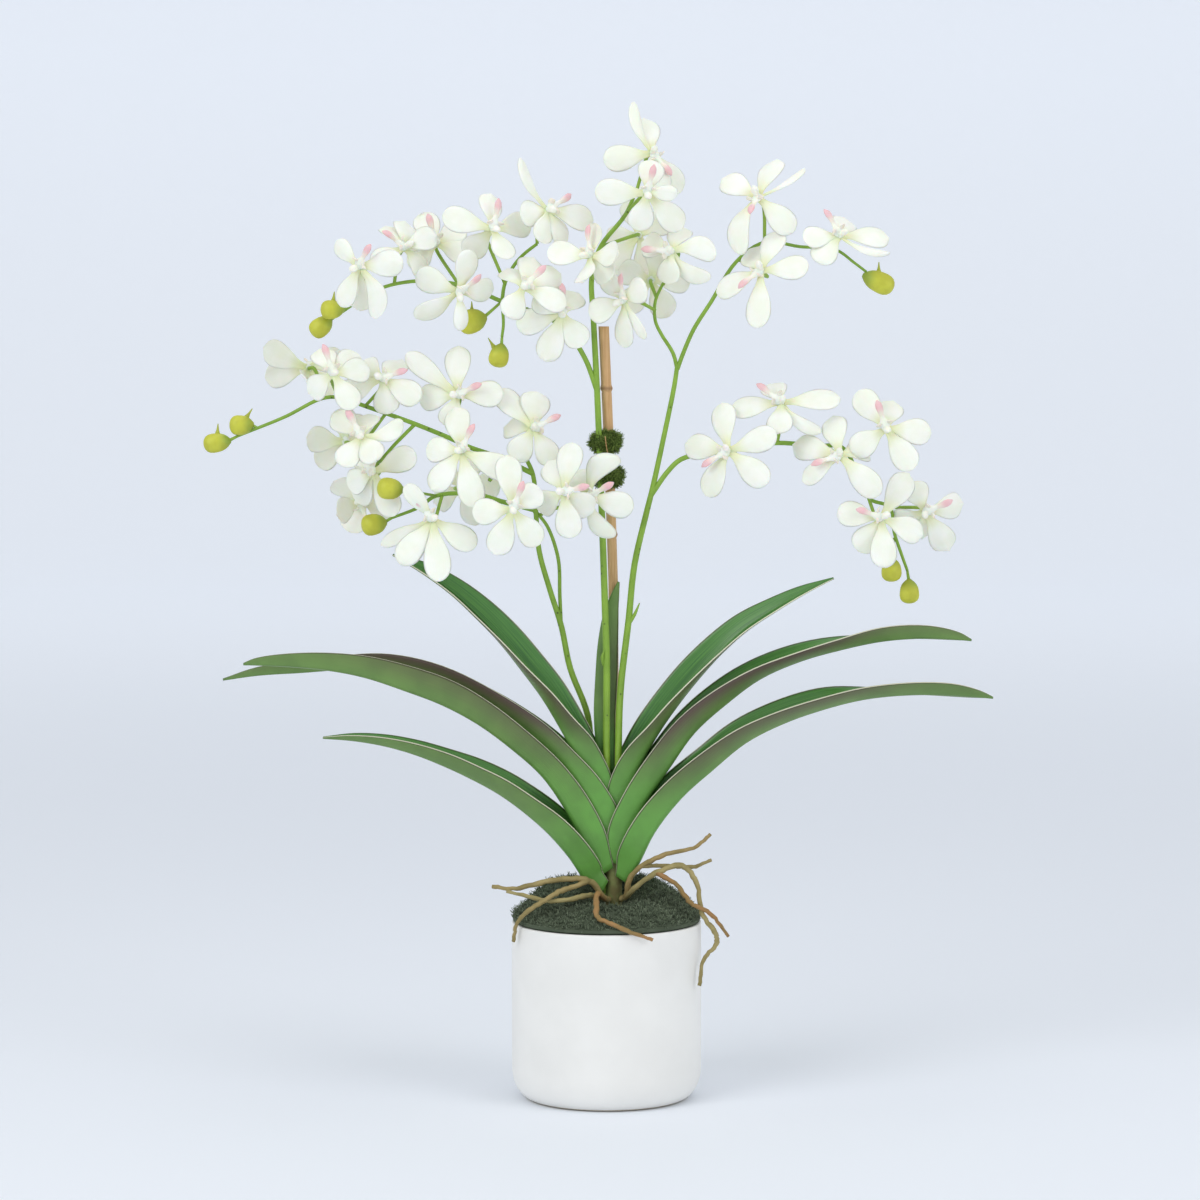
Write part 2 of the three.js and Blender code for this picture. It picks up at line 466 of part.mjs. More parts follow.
function bloomSolid(name, azimuth, elevation, roll, form) {
  const { facing, lip, across } = bloomAxes(azimuth, elevation, roll);
  const forward = -facing.y;
  const petals = PETALS[name].map(([x, z, depth, bend = 0, width = 1]) => {
    const toViewer = depth ?? (form.tip - x * facing.x - z * facing.z) / forward;
    const tip = v3(x, -toViewer, z);
    return { tip, angle: Math.atan2(tip.dot(across), tip.dot(lip)), bend: bend * Math.sign(forward), width };
  }).sort((a, b) => a.angle - b.angle);
  const points = [];
  const add = (p) => points.push(p) - 1;
  const triangles = [];
  const quad = (a, b, c, d) => triangles.push([a, b, c], [a, c, d]);
  const round = (angle, radius, height) => add(v3(0, 0, 0).addScaledVector(lip, radius * Math.cos(angle))
    .addScaledVector(across, radius * Math.sin(angle)).addScaledVector(facing, height));
  const corners = petals.map(({ angle }, i) => {
    const before = i ? petals[i - 1].angle : petals[petals.length - 1].angle - 2 * Math.PI;
    return round((before + angle) / 2, CORE_RADIUS, 0);
  });
  const top = round(0, 0, CORE_HALF);
  const bottom = round(0, 0, -CORE_HALF);
  petals.forEach(({ tip, angle, bend, width }, i) => {
    const along = tip.clone().normalize();
    const side = v3(0, 0, 0).crossVectors(facing, along).normalize();
    const normal = v3(0, 0, 0).crossVectors(along, side);
    const put = (share, sideways, height) => {
      const bow = Math.sin(Math.PI * share);
      return add(tip.clone().multiplyScalar(share).addScaledVector(side, sideways + bend * bow)
        .addScaledVector(normal, height + form.arch * bow));
    };
    const right = corners[i];
    const left = corners[(i + 1) % petals.length];
    let ring = [right, round(angle, CORE_RADIUS, CORE_HALF), left, round(angle, CORE_RADIUS, -CORE_HALF)];
    triangles.push([top, ring[0], ring[1]], [top, ring[1], ring[2]]);
    triangles.push([bottom, ring[3], ring[0]], [bottom, ring[2], ring[3]]);
    // Beside a neighbour that stands at the same height, a blade keeps to its own half
    const room = (share, step) => {
      const other = petals[(i + step + petals.length) % petals.length].tip;
      const apart = tip.clone().sub(other).multiplyScalar(share);
      return Math.abs(apart.dot(facing)) < CLEAR_RISE ? apart.length() * NEIGHBOUR_SHARE : Infinity;
    };
    BLADE_STEPS.forEach(([share, full]) => {
      const margin = form.margin * share;
      const half = full * width;
      const next = [
        put(share, -Math.min(half, room(share, -1)), margin), put(share, 0, TEPAL_THICKNESS / 2),
        put(share, Math.min(half, room(share, 1)), margin), put(share, 0, -TEPAL_THICKNESS / 2),
      ];
      for (let k = 0; k < 4; k += 1) {
        const m = (k + 1) % 4;
        quad(ring[k], next[k], next[m], ring[m]);
      }
      ring = next;
    });
    const end = add(tip);
    for (let k = 0; k < 4; k += 1) triangles.push([ring[k], end, ring[(k + 1) % 4]]);
  });
  const frames = framesAlong(FINGER.map(([x, z]) => v3(x, 0, z)));
  const finger = loft(FINGER.map(([x, z, wide, deep], i) => Array.from({ length: 4 }, (_, k) => {
    const angle = (2 * Math.PI * k) / 4;
    const p = v3(x, 0, z)
      .addScaledVector(frames[i].across, wide * Math.cos(angle))
      .addScaledVector(frames[i].other, deep * Math.sin(angle));
    return v3(0, 0, 0).addScaledVector(lip, p.x).addScaledVector(across, p.y).addScaledVector(facing, p.z);
  })));
  return solid(points, triangles).add(finger);
}

BLOOMS.forEach(([name, at, azimuth, elevation, roll, form]) => {
  place(`bloom_${name}`, bloomSolid(name, azimuth, elevation, roll, form), PETAL).position.set(...at);
});

// A pedicel runs from the branch and comes up square behind its bloom
function pedicels(stem) {
  return BLOOMS.filter((bloom) => bloom[6] === stem).map(([, at, azimuth, elevation, roll, , , from]) => {
    const { facing } = bloomAxes(azimuth, elevation, roll);
    const end = v3(...at).addScaledVector(facing, -(CORE_HALF + GAP + 0.1));
    const start = v3(...from);
    const behind = end.clone().addScaledVector(facing, -Math.min(9, end.distanceTo(start) * 0.45));
    return rod([start, behind, end], [PEDICEL_RADIUS, PEDICEL_RADIUS * 1.2], 4);
  });
}

// A bud: a plump drop on its short stalk, with the pointed spur that some still show
function bud(from, base, tip, radius, spur) {
  const reach = (share) => v3(...base).lerp(v3(...tip), share);
  const parts = [rod([v3(...from), reach(0.1)], [0.9, 0.9], 4)];
  parts.push(rod([reach(0), reach(0.22), reach(0.72), reach(1)],
    [radius * 0.4, radius * 0.95, radius, radius * 0.4], 6));
  if (spur) {
    parts.push(rod([reach(0.5), reach(0.5).add(v3(...spur))], [radius * 0.6, 0.4], 4));
  }
  return parts;
}

// Left flower stem: rises behind the fan and forks into two sprays
place('flower_stem_left', join([
  leftStem(0),
  rod([[-48, 1, 402], [-58, -1, 420], [-75, -1, 430], [-80, -1, 424]], [1.7, 2.2, 2.4, 1.2], 5),
  rod([[-31, 10, 322], [-32, 11, 345], [-33, 9, 370], [-40, 5, 392], [-47, 2, 402]], [1.3, 1.2], 5),
  rod([[-48, 1, 404], [-71, 0, 410], [-89, 0, 415], [-116, 0, 414], [-128, 0, 406], [-146, 0, 399]],
    [1.8, 1.5, 1], 5),
  rod([[-50, 0, 429], [-73, 0, 440], [-93, 0, 447], [-106, 0, 453], [-133, 0, 464], [-164, 0, 475],
    [-182, 0, 481], [-194, 0, 480], [-218, 0, 468], [-240, 0, 459], [-250, 0, 455]], [1.8, 1.6, 1.3, 1], 5),
  rod([[-130, 0, 463], [-144, 2, 449], [-152, 5, 440], [-157, 11, 435]], [1.3, 1.1], 5),
  ...bud([-146, 0, 399], [-149.8, -2, 396.2], [-166.9, -3, 393.3], 7, null),
  ...bud([-116, 0, 414], [-137, -30, 419.8], [-154.7, -31, 421.8], 7, null),
  ...bud([-250, 0, 455], [-255.7, 0, 451.5], [-274.1, 0, 448.9], 6.3, [0.8, 0, 13]),
  ...bud([-237, 0, 460], [-240, 0, 462.5], [-256.4, 0, 461.9], 6.5, [7.5, 0, 11.2]),
  ...pedicels('left'),
]), STEM_GREEN);

// Centre flower stem: from the heart of the fan up the stake, arching over at the top
place('flower_stem_centre', join([
  centreStem(0),
  rod([[-6, -0.8, 484], [-15, -0.5, 508], [-30, 0, 529], [-50, 0, 539], [-71, 0, 546], [-95, 0, 556],
    [-123, 0, 560], [-150, 0, 556], [-167, 0, 547], [-176, 0, 542]], [1.8, 1.6, 1.3, 1], 5),
  rod([[-71, 0, 546], [-69, 0, 558], [-63, 0, 570], [-56, 0, 578], [-47, 0, 585]], [1.3, 1.1], 5),
  rod([[-71, 0, 545], [-70, 0, 531], [-71, 0, 522]], [1.1, 1], 4),
  rod([[-2, -2.4, 298], [-3, -4.4, 304], [-1.5, -4.6, 309]], [0.9, 1.2, 0.4], 4),
  ...bud([-71, 0, 522], [-71, 0, 517.2], [-74.8, 0, 501.4], 6.5, [-7.6, 0, 12.1]),
  ...bud([-71, 0, 546], [-81.7, -3, 535.5], [-100.6, -6, 530.2], 8, [-0.2, 0, 13.4]),
  ...bud([-176, 0, 542], [-178, -2, 540.9], [-193.9, -2, 540.2], 6.2, [1.5, 0, 12.2]),
  ...bud([-170, 0, 545], [-187.4, 8, 533.9], [-200.8, 8, 523.7], 6.4, null),
  ...pedicels('centre'),
]), STEM_GREEN);

// Right flower stem: forks low, then again below the top
place('flower_stem_right', join([
  rod(smooth([
    [7.8, -2.6, STEM_TOP + GAP], [8, -2.6, 234], [9.5, -2.6, 281], [15, -2.2, 329], [19, -1.4, 367],
    [27, -0.6, 402], [31, 0, 418], [38, 0, 450], [46, 0, 489], [48, 0, 503],
  ], 11), [2.5, 2.3, 2.1, 1.8, 1.5]),
  rod([[48, 0, 500], [45, 0, 511], [37, 0, 524], [33, 0, 533], [33, 0, 546], [38, 0, 558]], [1.4, 1.2, 1], 5),
  rod([[48, 0, 500], [52, 0, 511], [59, 0, 527], [71, 0, 546], [88, 0, 573], [107, 0, 586], [131, 0, 583],
    [155, 0, 581], [168, 0, 572], [176, 0, 566]], [1.5, 1.4, 1.1, 0.9], 5),
  rod([[30, 0, 414], [42, 0, 431], [51, 0, 439], [77, 0, 445], [116, 0, 450], [142, 0, 448], [160, 0, 447],
    [170, 0, 431], [179, 0, 412], [193, 2, 406], [196, 2, 389], [201, 1, 374], [205, 1, 363]],
  [1.8, 1.6, 1.3, 1], 5),
  rod([[14.5, -2.2, 326], [19, -2.4, 333], [22.5, -2.4, 341]], [1.6, 1.2, 0.4], 4),
  ...bud([176, 0, 566], [173.9, 0, 563.9], [194.5, 0, 554.7], 7, [0.3, 0, 13.5]),
  ...bud([205, 1, 363], [206.2, 1, 356.8], [206.6, 1, 340.3], 6.4, null),
  ...bud([196, 2, 385], [193.6, -3, 372], [194, -4, 355.6], 6.6, null),
  ...pedicels('right'),
]), STEM_GREEN);

// Aerial roots: bare roots that leave the foot of the stem, lie over the moss and hang
// past the rim
const root = (path, radii) => rod(smooth(path, path.length), radii, 5);
const rootSeat = (angle, height, out) => {
  const reach = STEM_RADIUS + GAP + 0.2 + out;
  return [STEM_X + reach * Math.cos(rad(angle)), reach * Math.sin(rad(angle)), height];
};
const LEFT_SEAT = [rootSeat(235, 137.5, 0), rootSeat(235, 138.5, 4)];
const RIGHT_SEAT = [rootSeat(320, 138, 0), rootSeat(320, 139.5, 4)];

place('root_left', join([
  root([...LEFT_SEAT, [-12, -16, 152], [-32, -24, 154], [-45, -26, 152], [-64, -20, 147], [-78, -16, 148]],
    [2.1, 2, 1.3]),
  root([...LEFT_SEAT, [-13, -24, 143], [-22, -31, 142], [-40, -34, 141], [-53, -28, 143], [-68, -24, 146]],
    [2, 1.8, 1.2]),
  root([[-12, -16, 152], [-23, -26, 149], [-32, -32, 147], [-40, -38, 143], [-54, -38, 134], [-61.5, -32, 124],
    [-63.5, -28, 112]], [1.9, 1.7, 1.2]),
  root([...LEFT_SEAT, [-6, -28, 145], [-7, -44, 140], [-6, -56, 133], [5, -62, 129], [18, -66.5, 124],
    [31, -64, 119]], [2, 1.8, 1.2]),
]), ROOT);
place('root_right', join([
  root([...RIGHT_SEAT, [16, -12, 153], [24, -14, 162], [41, -14, 170], [62, -10, 175], [71, -8, 183]],
    [2, 1.8, 1.2]),
  root([...RIGHT_SEAT, [20, -18, 148], [36, -20, 159], [51, -20, 163], [61, -21, 152], [65, -24, 131],
    [74, -20, 117], [75, -18, 109], [66, -25, 99], [63, -30, 82]], [2, 1.9, 1.8, 1.3]),
  root([[34, -20, 158], [48, -24, 150], [57, -30, 139], [70, -24, 131], [83, -18, 114]], [1.7, 1.6, 1.2]),
  root([[24, -14, 162], [38, -8, 161], [50, -4, 160], [61, -2, 160], [72, 0, 164]], [1.6, 1.5, 1.1]),
]), ROOT);

// Moss tufts tied round the stem and the stake, with a band of raffia between them
function tuft(name, [x, y, z], [a, b, c], seed) {
  const ball = new THREE.SphereGeometry(1, 9, 6).rotateX(Math.PI / 2);
  const position = ball.attributes.position;
  for (let i = 0; i < position.count; i += 1) {
    const p = v3().fromBufferAttribute(position, i);
    const lump = 1 + 0.09 * Math.sin(5 * p.x + seed) * Math.cos(4 * p.z + 2 * p.y + seed);
    position.setXYZ(i, x + a * p.x * lump, y + b * p.y * lump, z + c * p.z * lump);
  }
  place(name, solidOf(ball).subtract(stakeSolid(GAP)).subtract(centreStem(GAP)), TUFT);
}
tuft('moss_tuft_upper', [-0.5, 3, 450.5], [12.5, 10, 8.6], 1);
tuft('moss_tuft_lower', [1, 3.6, 427], [12.5, 10, 8.8], 4);
{
  const band = rod([[-1.4, 3, 437.3], [-1.4, 3, 440.3]], [9.4], 10);
  const tail = rod([[2, -5, 438.8], [1.5, -8.8, 441], [0, -10, 447], [-1, -10.2, 455]], [1.1, 0.9, 0.7], 4);
  const tie = band.subtract(stakeSolid(GAP)).subtract(centreStem(GAP)).add(tail);
  place('raffia_tie', tie, RAFFIA);
}

// Bamboo stake: a length of cane with two swollen nodes and a groove down its left side
{
  const node = (z, x, y) => rod([[x, y, z - 2.5], [x, y, z], [x, y, z + 2.5]],
    [STAKE_RADIUS, STAKE_RADIUS + 0.7, STAKE_RADIUS], 8);
  place('bamboo_stake', join([stakeSolid(0), node(487, 0, 5.1), node(387, 3.5, 9.5)]), CANE);
}

export default object;
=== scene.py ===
"""A potted vanda orchid in a white ceramic pot: the looks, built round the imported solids.

Sizes below are millimetres, as in the part's own source, unless a name says otherwise.
Left and right are as seen from the front, -Y, and the origin is the middle of the pot's foot.
"""
import json
import math

import bmesh
import bpy
import numpy as np
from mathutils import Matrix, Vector

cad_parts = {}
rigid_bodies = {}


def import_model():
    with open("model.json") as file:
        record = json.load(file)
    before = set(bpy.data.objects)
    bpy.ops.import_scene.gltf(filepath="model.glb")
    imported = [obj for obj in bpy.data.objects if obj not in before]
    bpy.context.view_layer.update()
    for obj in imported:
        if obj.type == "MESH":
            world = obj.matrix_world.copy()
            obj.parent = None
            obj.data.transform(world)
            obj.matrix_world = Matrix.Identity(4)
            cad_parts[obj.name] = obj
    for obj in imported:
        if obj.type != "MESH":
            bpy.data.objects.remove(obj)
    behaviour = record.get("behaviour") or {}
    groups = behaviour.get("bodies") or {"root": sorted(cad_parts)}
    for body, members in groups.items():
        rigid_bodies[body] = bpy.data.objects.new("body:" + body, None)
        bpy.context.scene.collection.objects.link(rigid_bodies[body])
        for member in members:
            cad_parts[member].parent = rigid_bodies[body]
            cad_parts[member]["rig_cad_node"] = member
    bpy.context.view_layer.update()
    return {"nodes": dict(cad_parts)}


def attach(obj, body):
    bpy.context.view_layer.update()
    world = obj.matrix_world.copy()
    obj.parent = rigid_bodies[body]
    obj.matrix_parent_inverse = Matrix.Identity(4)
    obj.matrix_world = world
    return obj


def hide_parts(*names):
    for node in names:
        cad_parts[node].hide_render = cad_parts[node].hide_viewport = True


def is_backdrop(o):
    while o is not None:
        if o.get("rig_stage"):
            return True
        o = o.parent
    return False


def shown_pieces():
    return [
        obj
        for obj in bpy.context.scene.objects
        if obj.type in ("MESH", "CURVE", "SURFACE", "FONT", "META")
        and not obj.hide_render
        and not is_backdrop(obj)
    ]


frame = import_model()

# Camera: level with the middle of the leaves, three metres off, looking a little down on
# the pot, with a long lens, so that the upright stems stay upright.
scene = bpy.context.scene
camera = bpy.data.objects.new("camera", bpy.data.cameras.new("camera"))
scene.collection.objects.link(camera)
camera.location = (-0.0045, -3.0, 0.6)
camera.rotation_euler = (math.radians(90 - 4.9), 0, 0)
camera.data.sensor_width = 36
camera.data.lens = 132.45
camera.data.clip_end = 30
scene.camera = camera

# Floor and backdrop: one pale sheet that turns up in a wide curve, far enough behind the
# plant to leave room for a camera on that side too.
MM = 0.001
FLOOR_HALF = 12000
FLOOR_FRONT = -12000
FLOOR_BACK = 4200
SWEEP_RADIUS = 900
WALL_TOP = 5000


def srgb(code):
    """A colour written as #rrggbb, in the linear numbers that a shader takes."""
    parts = [int(code[i:i + 2], 16) / 255 for i in (1, 3, 5)]
    return tuple(c / 12.92 if c <= 0.04045 else ((c + 0.055) / 1.055) ** 2.4 for c in parts) + (1,)


def material(name, **sockets):
    """A new material, its node tree and its shader, with constants set on the shader's sockets."""
    made = bpy.data.materials.new(name)
    made.use_nodes = True
    shader = made.node_tree.nodes["Principled BSDF"]
    for socket, value in sockets.items():
        shader.inputs[socket.replace("_", " ")].default_value = value
    return made, made.node_tree, shader


def piece(name, shell, *materials):
    """An object from a shell: points in millimetres, faces, and marks kept for its material."""
    points, faces, marks = shell
    mesh = bpy.data.meshes.new(name)
    mesh.from_pydata(np.asarray(points, float) * MM, [], faces)
    for mark, values in marks.items():
        mesh.attributes.new(mark, "FLOAT", "POINT").data.foreach_set("value", np.asarray(values, float))
    mesh.polygons.foreach_set("use_smooth", [True] * len(mesh.polygons))
    for worn in materials:
        mesh.materials.append(worn)
    mesh.update()
    made = bpy.data.objects.new(name, mesh)
    scene.collection.objects.link(made)
    return made


def add(tree, kind, inputs=(), **settings):
    """A shader node. Inputs are (socket, value), where a value may be another node's output."""
    made = tree.nodes.new(kind)
    for key, value in settings.items():
        setattr(made, key, value)
    for socket, value in inputs:
        if isinstance(value, bpy.types.NodeSocket):
            tree.links.new(value, made.inputs[socket])
        else:
            made.inputs[socket].default_value = value
    return made


def blend(tree, share, first, second, mode="MIX"):
    """The colour between two, by a share from 0 to 1."""
    return add(tree, "ShaderNodeMix", [(0, share), (6, first), (7, second)],
               data_type="RGBA", blend_type=mode).outputs[2]


def stretch(tree, value, low, high, to_low=0.0, to_high=1.0):
    """A value's range from low to high, spread to a new range and kept inside it."""
    return add(tree, "ShaderNodeMapRange", [(0, value), (1, low), (2, high), (3, to_low), (4, to_high)],
               interpolation_type="SMOOTHSTEP").outputs[0]


def calc(tree, operation, first, second=0.0):
    """Two values put together by one operation of arithmetic."""
    return add(tree, "ShaderNodeMath", [(0, first), (1, second)], operation=operation).outputs[0]


# The far part of the sheet is lit by itself, which is a faint glow that grows with distance
paper, tree, shader = material("backdrop_paper", Roughness=0.9)
shader.inputs["Base Color"].default_value = srgb("#eef2f8")
shader.inputs["Emission Color"].default_value = srgb("#eef2f8")
level = add(tree, "ShaderNodeVectorMath", [
    (0, add(tree, "ShaderNodeTexCoord").outputs["Object"]), (1, (1, 1, 0))], operation="MULTIPLY").outputs[0]
away = add(tree, "ShaderNodeVectorMath", [(0, level)], operation="LENGTH").outputs["Value"]
tree.links.new(stretch(tree, away, 0.8, 4.0, 0.0, 0.2), shader.inputs["Emission Strength"])
turn = [(FLOOR_BACK + SWEEP_RADIUS * math.sin(a), SWEEP_RADIUS * (1 - math.cos(a)))
        for a in np.linspace(0, math.pi / 2, 13)]
profile = [(FLOOR_FRONT, 0), *turn, (FLOOR_BACK + SWEEP_RADIUS, WALL_TOP)]
sheet_points = [(x, y, z) for y, z in profile for x in (-FLOOR_HALF, FLOOR_HALF)]
sheet_faces = [(2 * i, 2 * i + 1, 2 * i + 3, 2 * i + 2) for i in range(len(profile) - 1)]
floor = piece("floor", (sheet_points, sheet_faces, {}), paper)
floor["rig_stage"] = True

# Light: two large soft boxes in front, one on each side, a third from above, and pale
# light all round, so that shadows are faint.
for name, place, size, watts in [
    ("left_box", (-2.2, -2.4, 2.2), 2.0, 40),
    ("right_box", (2.4, -2.0, 1.6), 1.8, 22),
    ("top_box", (0.2, -0.3, 2.8), 2.0, 16),
]:
    lamp = bpy.data.lights.new(name, "AREA")
    lamp.size = size
    lamp.energy = watts
    box = bpy.data.objects.new(name, lamp)
    scene.collection.objects.link(box)
    box.location = place
    box.rotation_euler = (Vector((0, 0, 0.35)) - Vector(place)).to_track_quat("-Z", "Y").to_euler()
world = bpy.data.worlds.new("room")
world.use_nodes = True
world.node_tree.nodes["Background"].inputs["Color"].default_value = (0.93, 0.96, 1, 1)
world.node_tree.nodes["Background"].inputs["Strength"].default_value = 0.55
scene.world = world
scene.view_settings.view_transform = "Standard"

# Pot: slip-cast ceramic with a matte white glaze, a rounded foot and a soft thin lip. The
# foot ring is left bare of glaze and shows a little of the sandy clay.
POT_RADIUS = 65
POT_HEIGHT = 122
POT_WALL = 3.5
POT_SIDES = 128


def lathe(profile, sides):
    """A shell turned round the Z axis from (radius, height) points, closed at the axis."""
    angles = np.linspace(0, 2 * math.pi, sides, endpoint=False)
    return skin([[(r * math.cos(a), r * math.sin(a), z) for a in angles] for r, z in profile])


def skin(rings):
    """A closed shell through rings of equally many points, with a flat face over each end."""
    sides = len(rings[0])
    points = [p for ring in rings for p in ring]
    faces = []
    for r in range(len(rings) - 1):
        low, high = r * sides, (r + 1) * sides
        for i in range(sides):
            j = (i + 1) % sides
            faces.append((low + i, low + j, high + j, high + i))
    faces.append(tuple(range(sides))[::-1])
    faces.append(tuple(range((len(rings) - 1) * sides, len(rings) * sides)))
    return points, faces, {}


def relief(tree, shader, height, strength, distance):
    """A bump on a shader's normal, strength and depth in metres."""
    bump = add(tree, "ShaderNodeBump", [("Height", height), ("Strength", strength), ("Distance", distance)])
    tree.links.new(bump.outputs[0], shader.inputs["Normal"])


def mottle_group():
    """Shared effect: soft uneven patches in a colour, with a fine grain as height."""
    made = bpy.data.node_groups.new("mottle", "ShaderNodeTree")
    for label, kind, value in [
        ("Colour", "NodeSocketColor", (1, 1, 1, 1)), ("Patch", "NodeSocketColor", (0, 0, 0, 1)),
        ("Patch size", "NodeSocketFloat", 60.0), ("Patch share", "NodeSocketFloat", 0.5),
        ("Grain size", "NodeSocketFloat", 900.0),
    ]:
        made.interface.new_socket(label, in_out="INPUT", socket_type=kind).default_value = value
    made.interface.new_socket("Colour", in_out="OUTPUT", socket_type="NodeSocketColor")
    made.interface.new_socket("Patches", in_out="OUTPUT", socket_type="NodeSocketFloat")
    made.interface.new_socket("Grain", in_out="OUTPUT", socket_type="NodeSocketFloat")
    given = made.nodes.new("NodeGroupInput").outputs
    result = made.nodes.new("NodeGroupOutput").inputs
    place = add(made, "ShaderNodeTexCoord").outputs["Object"]
    cloud, grain = (
        add(made, "ShaderNodeTexNoise", [("Vector", place), ("Scale", given[size]), ("Detail", detail)])
        for size, detail in (("Patch size", 3.0), ("Grain size", 2.0)))
    patches = stretch(made, cloud.outputs[0], 0.32, 0.68)
    share = calc(made, "MULTIPLY", patches, given["Patch share"])
    made.links.new(blend(made, share, given["Colour"], given["Patch"]), result["Colour"])
    made.links.new(patches, result["Patches"])
    made.links.new(grain.outputs[0], result["Grain"])
    return made


MOTTLE = mottle_group()


def mottled(tree, colour, patch, patch_size, patch_share, grain_size):
    """The shared mottle effect, placed in a material with its own colours and sizes."""
    made = add(tree, "ShaderNodeGroup", node_tree=MOTTLE)
    for socket, value in [("Colour", colour), ("Patch", patch), ("Patch size", patch_size),
                          ("Patch share", patch_share), ("Grain size", grain_size)]:
        if isinstance(value, bpy.types.NodeSocket):
            tree.links.new(value, made.inputs[socket])
        else:
            made.inputs[socket].default_value = value
    return made.outputs["Colour"], made.outputs["Patches"], made.outputs["Grain"]


inner = POT_RADIUS - POT_WALL
rounded_foot = [(51 + 14 * math.sin(a), 21 - 21 * math.cos(a)) for a in np.linspace(0.12, math.pi / 2, 12)]
lip = [(POT_RADIUS - 0.9 + 0.9 * math.cos(a), POT_HEIGHT - 0.9 + 0.9 * math.sin(a))
       for a in np.linspace(0, math.pi / 2, 5)]
pot_profile = [
    (0.01, 0), (49, 0), (51, 0.15), *rounded_foot, (POT_RADIUS, 60), (POT_RADIUS, POT_HEIGHT - 4), *lip,
    (inner + 0.8, POT_HEIGHT), (inner + 0.25, POT_HEIGHT - 0.3), (inner, POT_HEIGHT - 1),
    (inner, 60), (inner, 22), (60, 14), (56, 9), (48, 5), (0.01, 5),
]
glaze, tree, shader = material("matte_glaze", Roughness=0.5, Specular_IOR_Level=0.4)
colour, patches, grain = mottled(tree, srgb("#f5f4f0"), srgb("#efeeea"), 22.0, 0.8, 700.0)
place = add(tree, "ShaderNodeSeparateXYZ", [(0, add(tree, "ShaderNodeTexCoord").outputs["Object"])])
ragged = calc(tree, "MULTIPLY", grain, 0.0012)
bare = stretch(tree, calc(tree, "SUBTRACT", place.outputs[2], ragged), 0.0, 0.0011, 1.0, 0.0)
colour = blend(tree, bare, colour, srgb("#cfc2a8"))
tree.links.new(colour, shader.inputs["Base Color"])
tree.links.new(stretch(tree, patches, 0, 1, 0.46, 0.56), shader.inputs["Roughness"])
relief(tree, shader, grain, 0.12, 0.0002)
pot = piece("pot_glazed", lathe(pot_profile, POT_SIDES), glaze)
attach(pot, "root")
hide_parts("pot")

# Growing medium: coarse bark and fibre that fills the pot up to the moss. Its solid is
# kept, in crumbled browns.
bark, tree, shader = material("bark_medium", Roughness=0.95)
colour, patches, grain = mottled(tree, srgb("#4a3a28"), srgb("#2c2219"), 180.0, 0.9, 500.0)
chips = add(tree, "ShaderNodeTexVoronoi", [
    ("Vector", add(tree, "ShaderNodeTexCoord").outputs["Object"]), ("Scale", 150.0)])
colour = blend(tree, stretch(tree, chips.outputs["Distance"], 0.2, 0.7, 0, 0.6), colour, srgb("#6b563c"))
tree.links.new(colour, shader.inputs["Base Color"])
relief(tree, shader, chips.outputs["Distance"], 0.8, 0.002)
frame["nodes"]["growing_medium"].material_slots[0].material = bark

# Moss bed: a cushion of dried reindeer moss tucked in to the rim. It is a lumpy mound set
# all over with fine crooked sprigs.
MOSS_RIM = 65.6
MOSS_RISE = 22
MOSS_SPRIGS = 9200
MOSS_STEEPEST = 2
FILL_TOP = 104
STEM_X = 5


def moss_height(x, y):
    """Height of the mound of moss over a point of the pot."""
    r = np.minimum(np.hypot(x, y) / MOSS_RIM, 1)

    def bump(cx, cy, height, spread):
        return height * np.exp(-((x - cx) ** 2 + (y - cy) ** 2) / (2 * spread * spread))

    lumps = 1.6 * np.sin(0.19 * x + 0.7) * np.cos(0.17 * y) + 1.1 * np.sin(0.31 * y + 0.11 * x)
    heaps = bump(-37, 24, 9, 13) + bump(34, 24, 9, 13) + bump(0, 36, 6, 14) + bump(52, 4, 4, 9)
    dip = bump(STEM_X, -2, 18, 14)
    return (POT_HEIGHT + 2.4 + (MOSS_RISE + 0.14 * y) * (1 - r * r) ** 0.8
            + (lumps + heaps) * (1 - r ** 4) - dip)


def tufted_height(x, y):
    """The mound with the small tufts that it is made of."""
    tufts = np.sin(0.62 * x + 1.1 * np.sin(0.3 * y)) * np.sin(0.58 * y + 1.3 * np.cos(0.27 * x))
    r = np.minimum(np.hypot(x, y) / MOSS_RIM, 1)
    return moss_height(x, y) + (1.5 * tufts - 1.4) * (1 - r ** 6)


def joined(shells):
    """One shell from several, which all hold the same marks."""
    points, faces, marks = [], [], {}
    for shell_points, shell_faces, shell_marks in shells:
        start = len(points)
        points.extend(shell_points)
        faces.extend(tuple(i + start for i in face) for face in shell_faces)
        for mark, values in shell_marks.items():
            marks.setdefault(mark, []).extend(values)
    return points, faces, marks


def marked(shell, **marks):
    """The shell with the same value of each mark at all its points."""
    points, faces, _ = shell
    return points, faces, {mark: [value] * len(points) for mark, value in marks.items()}


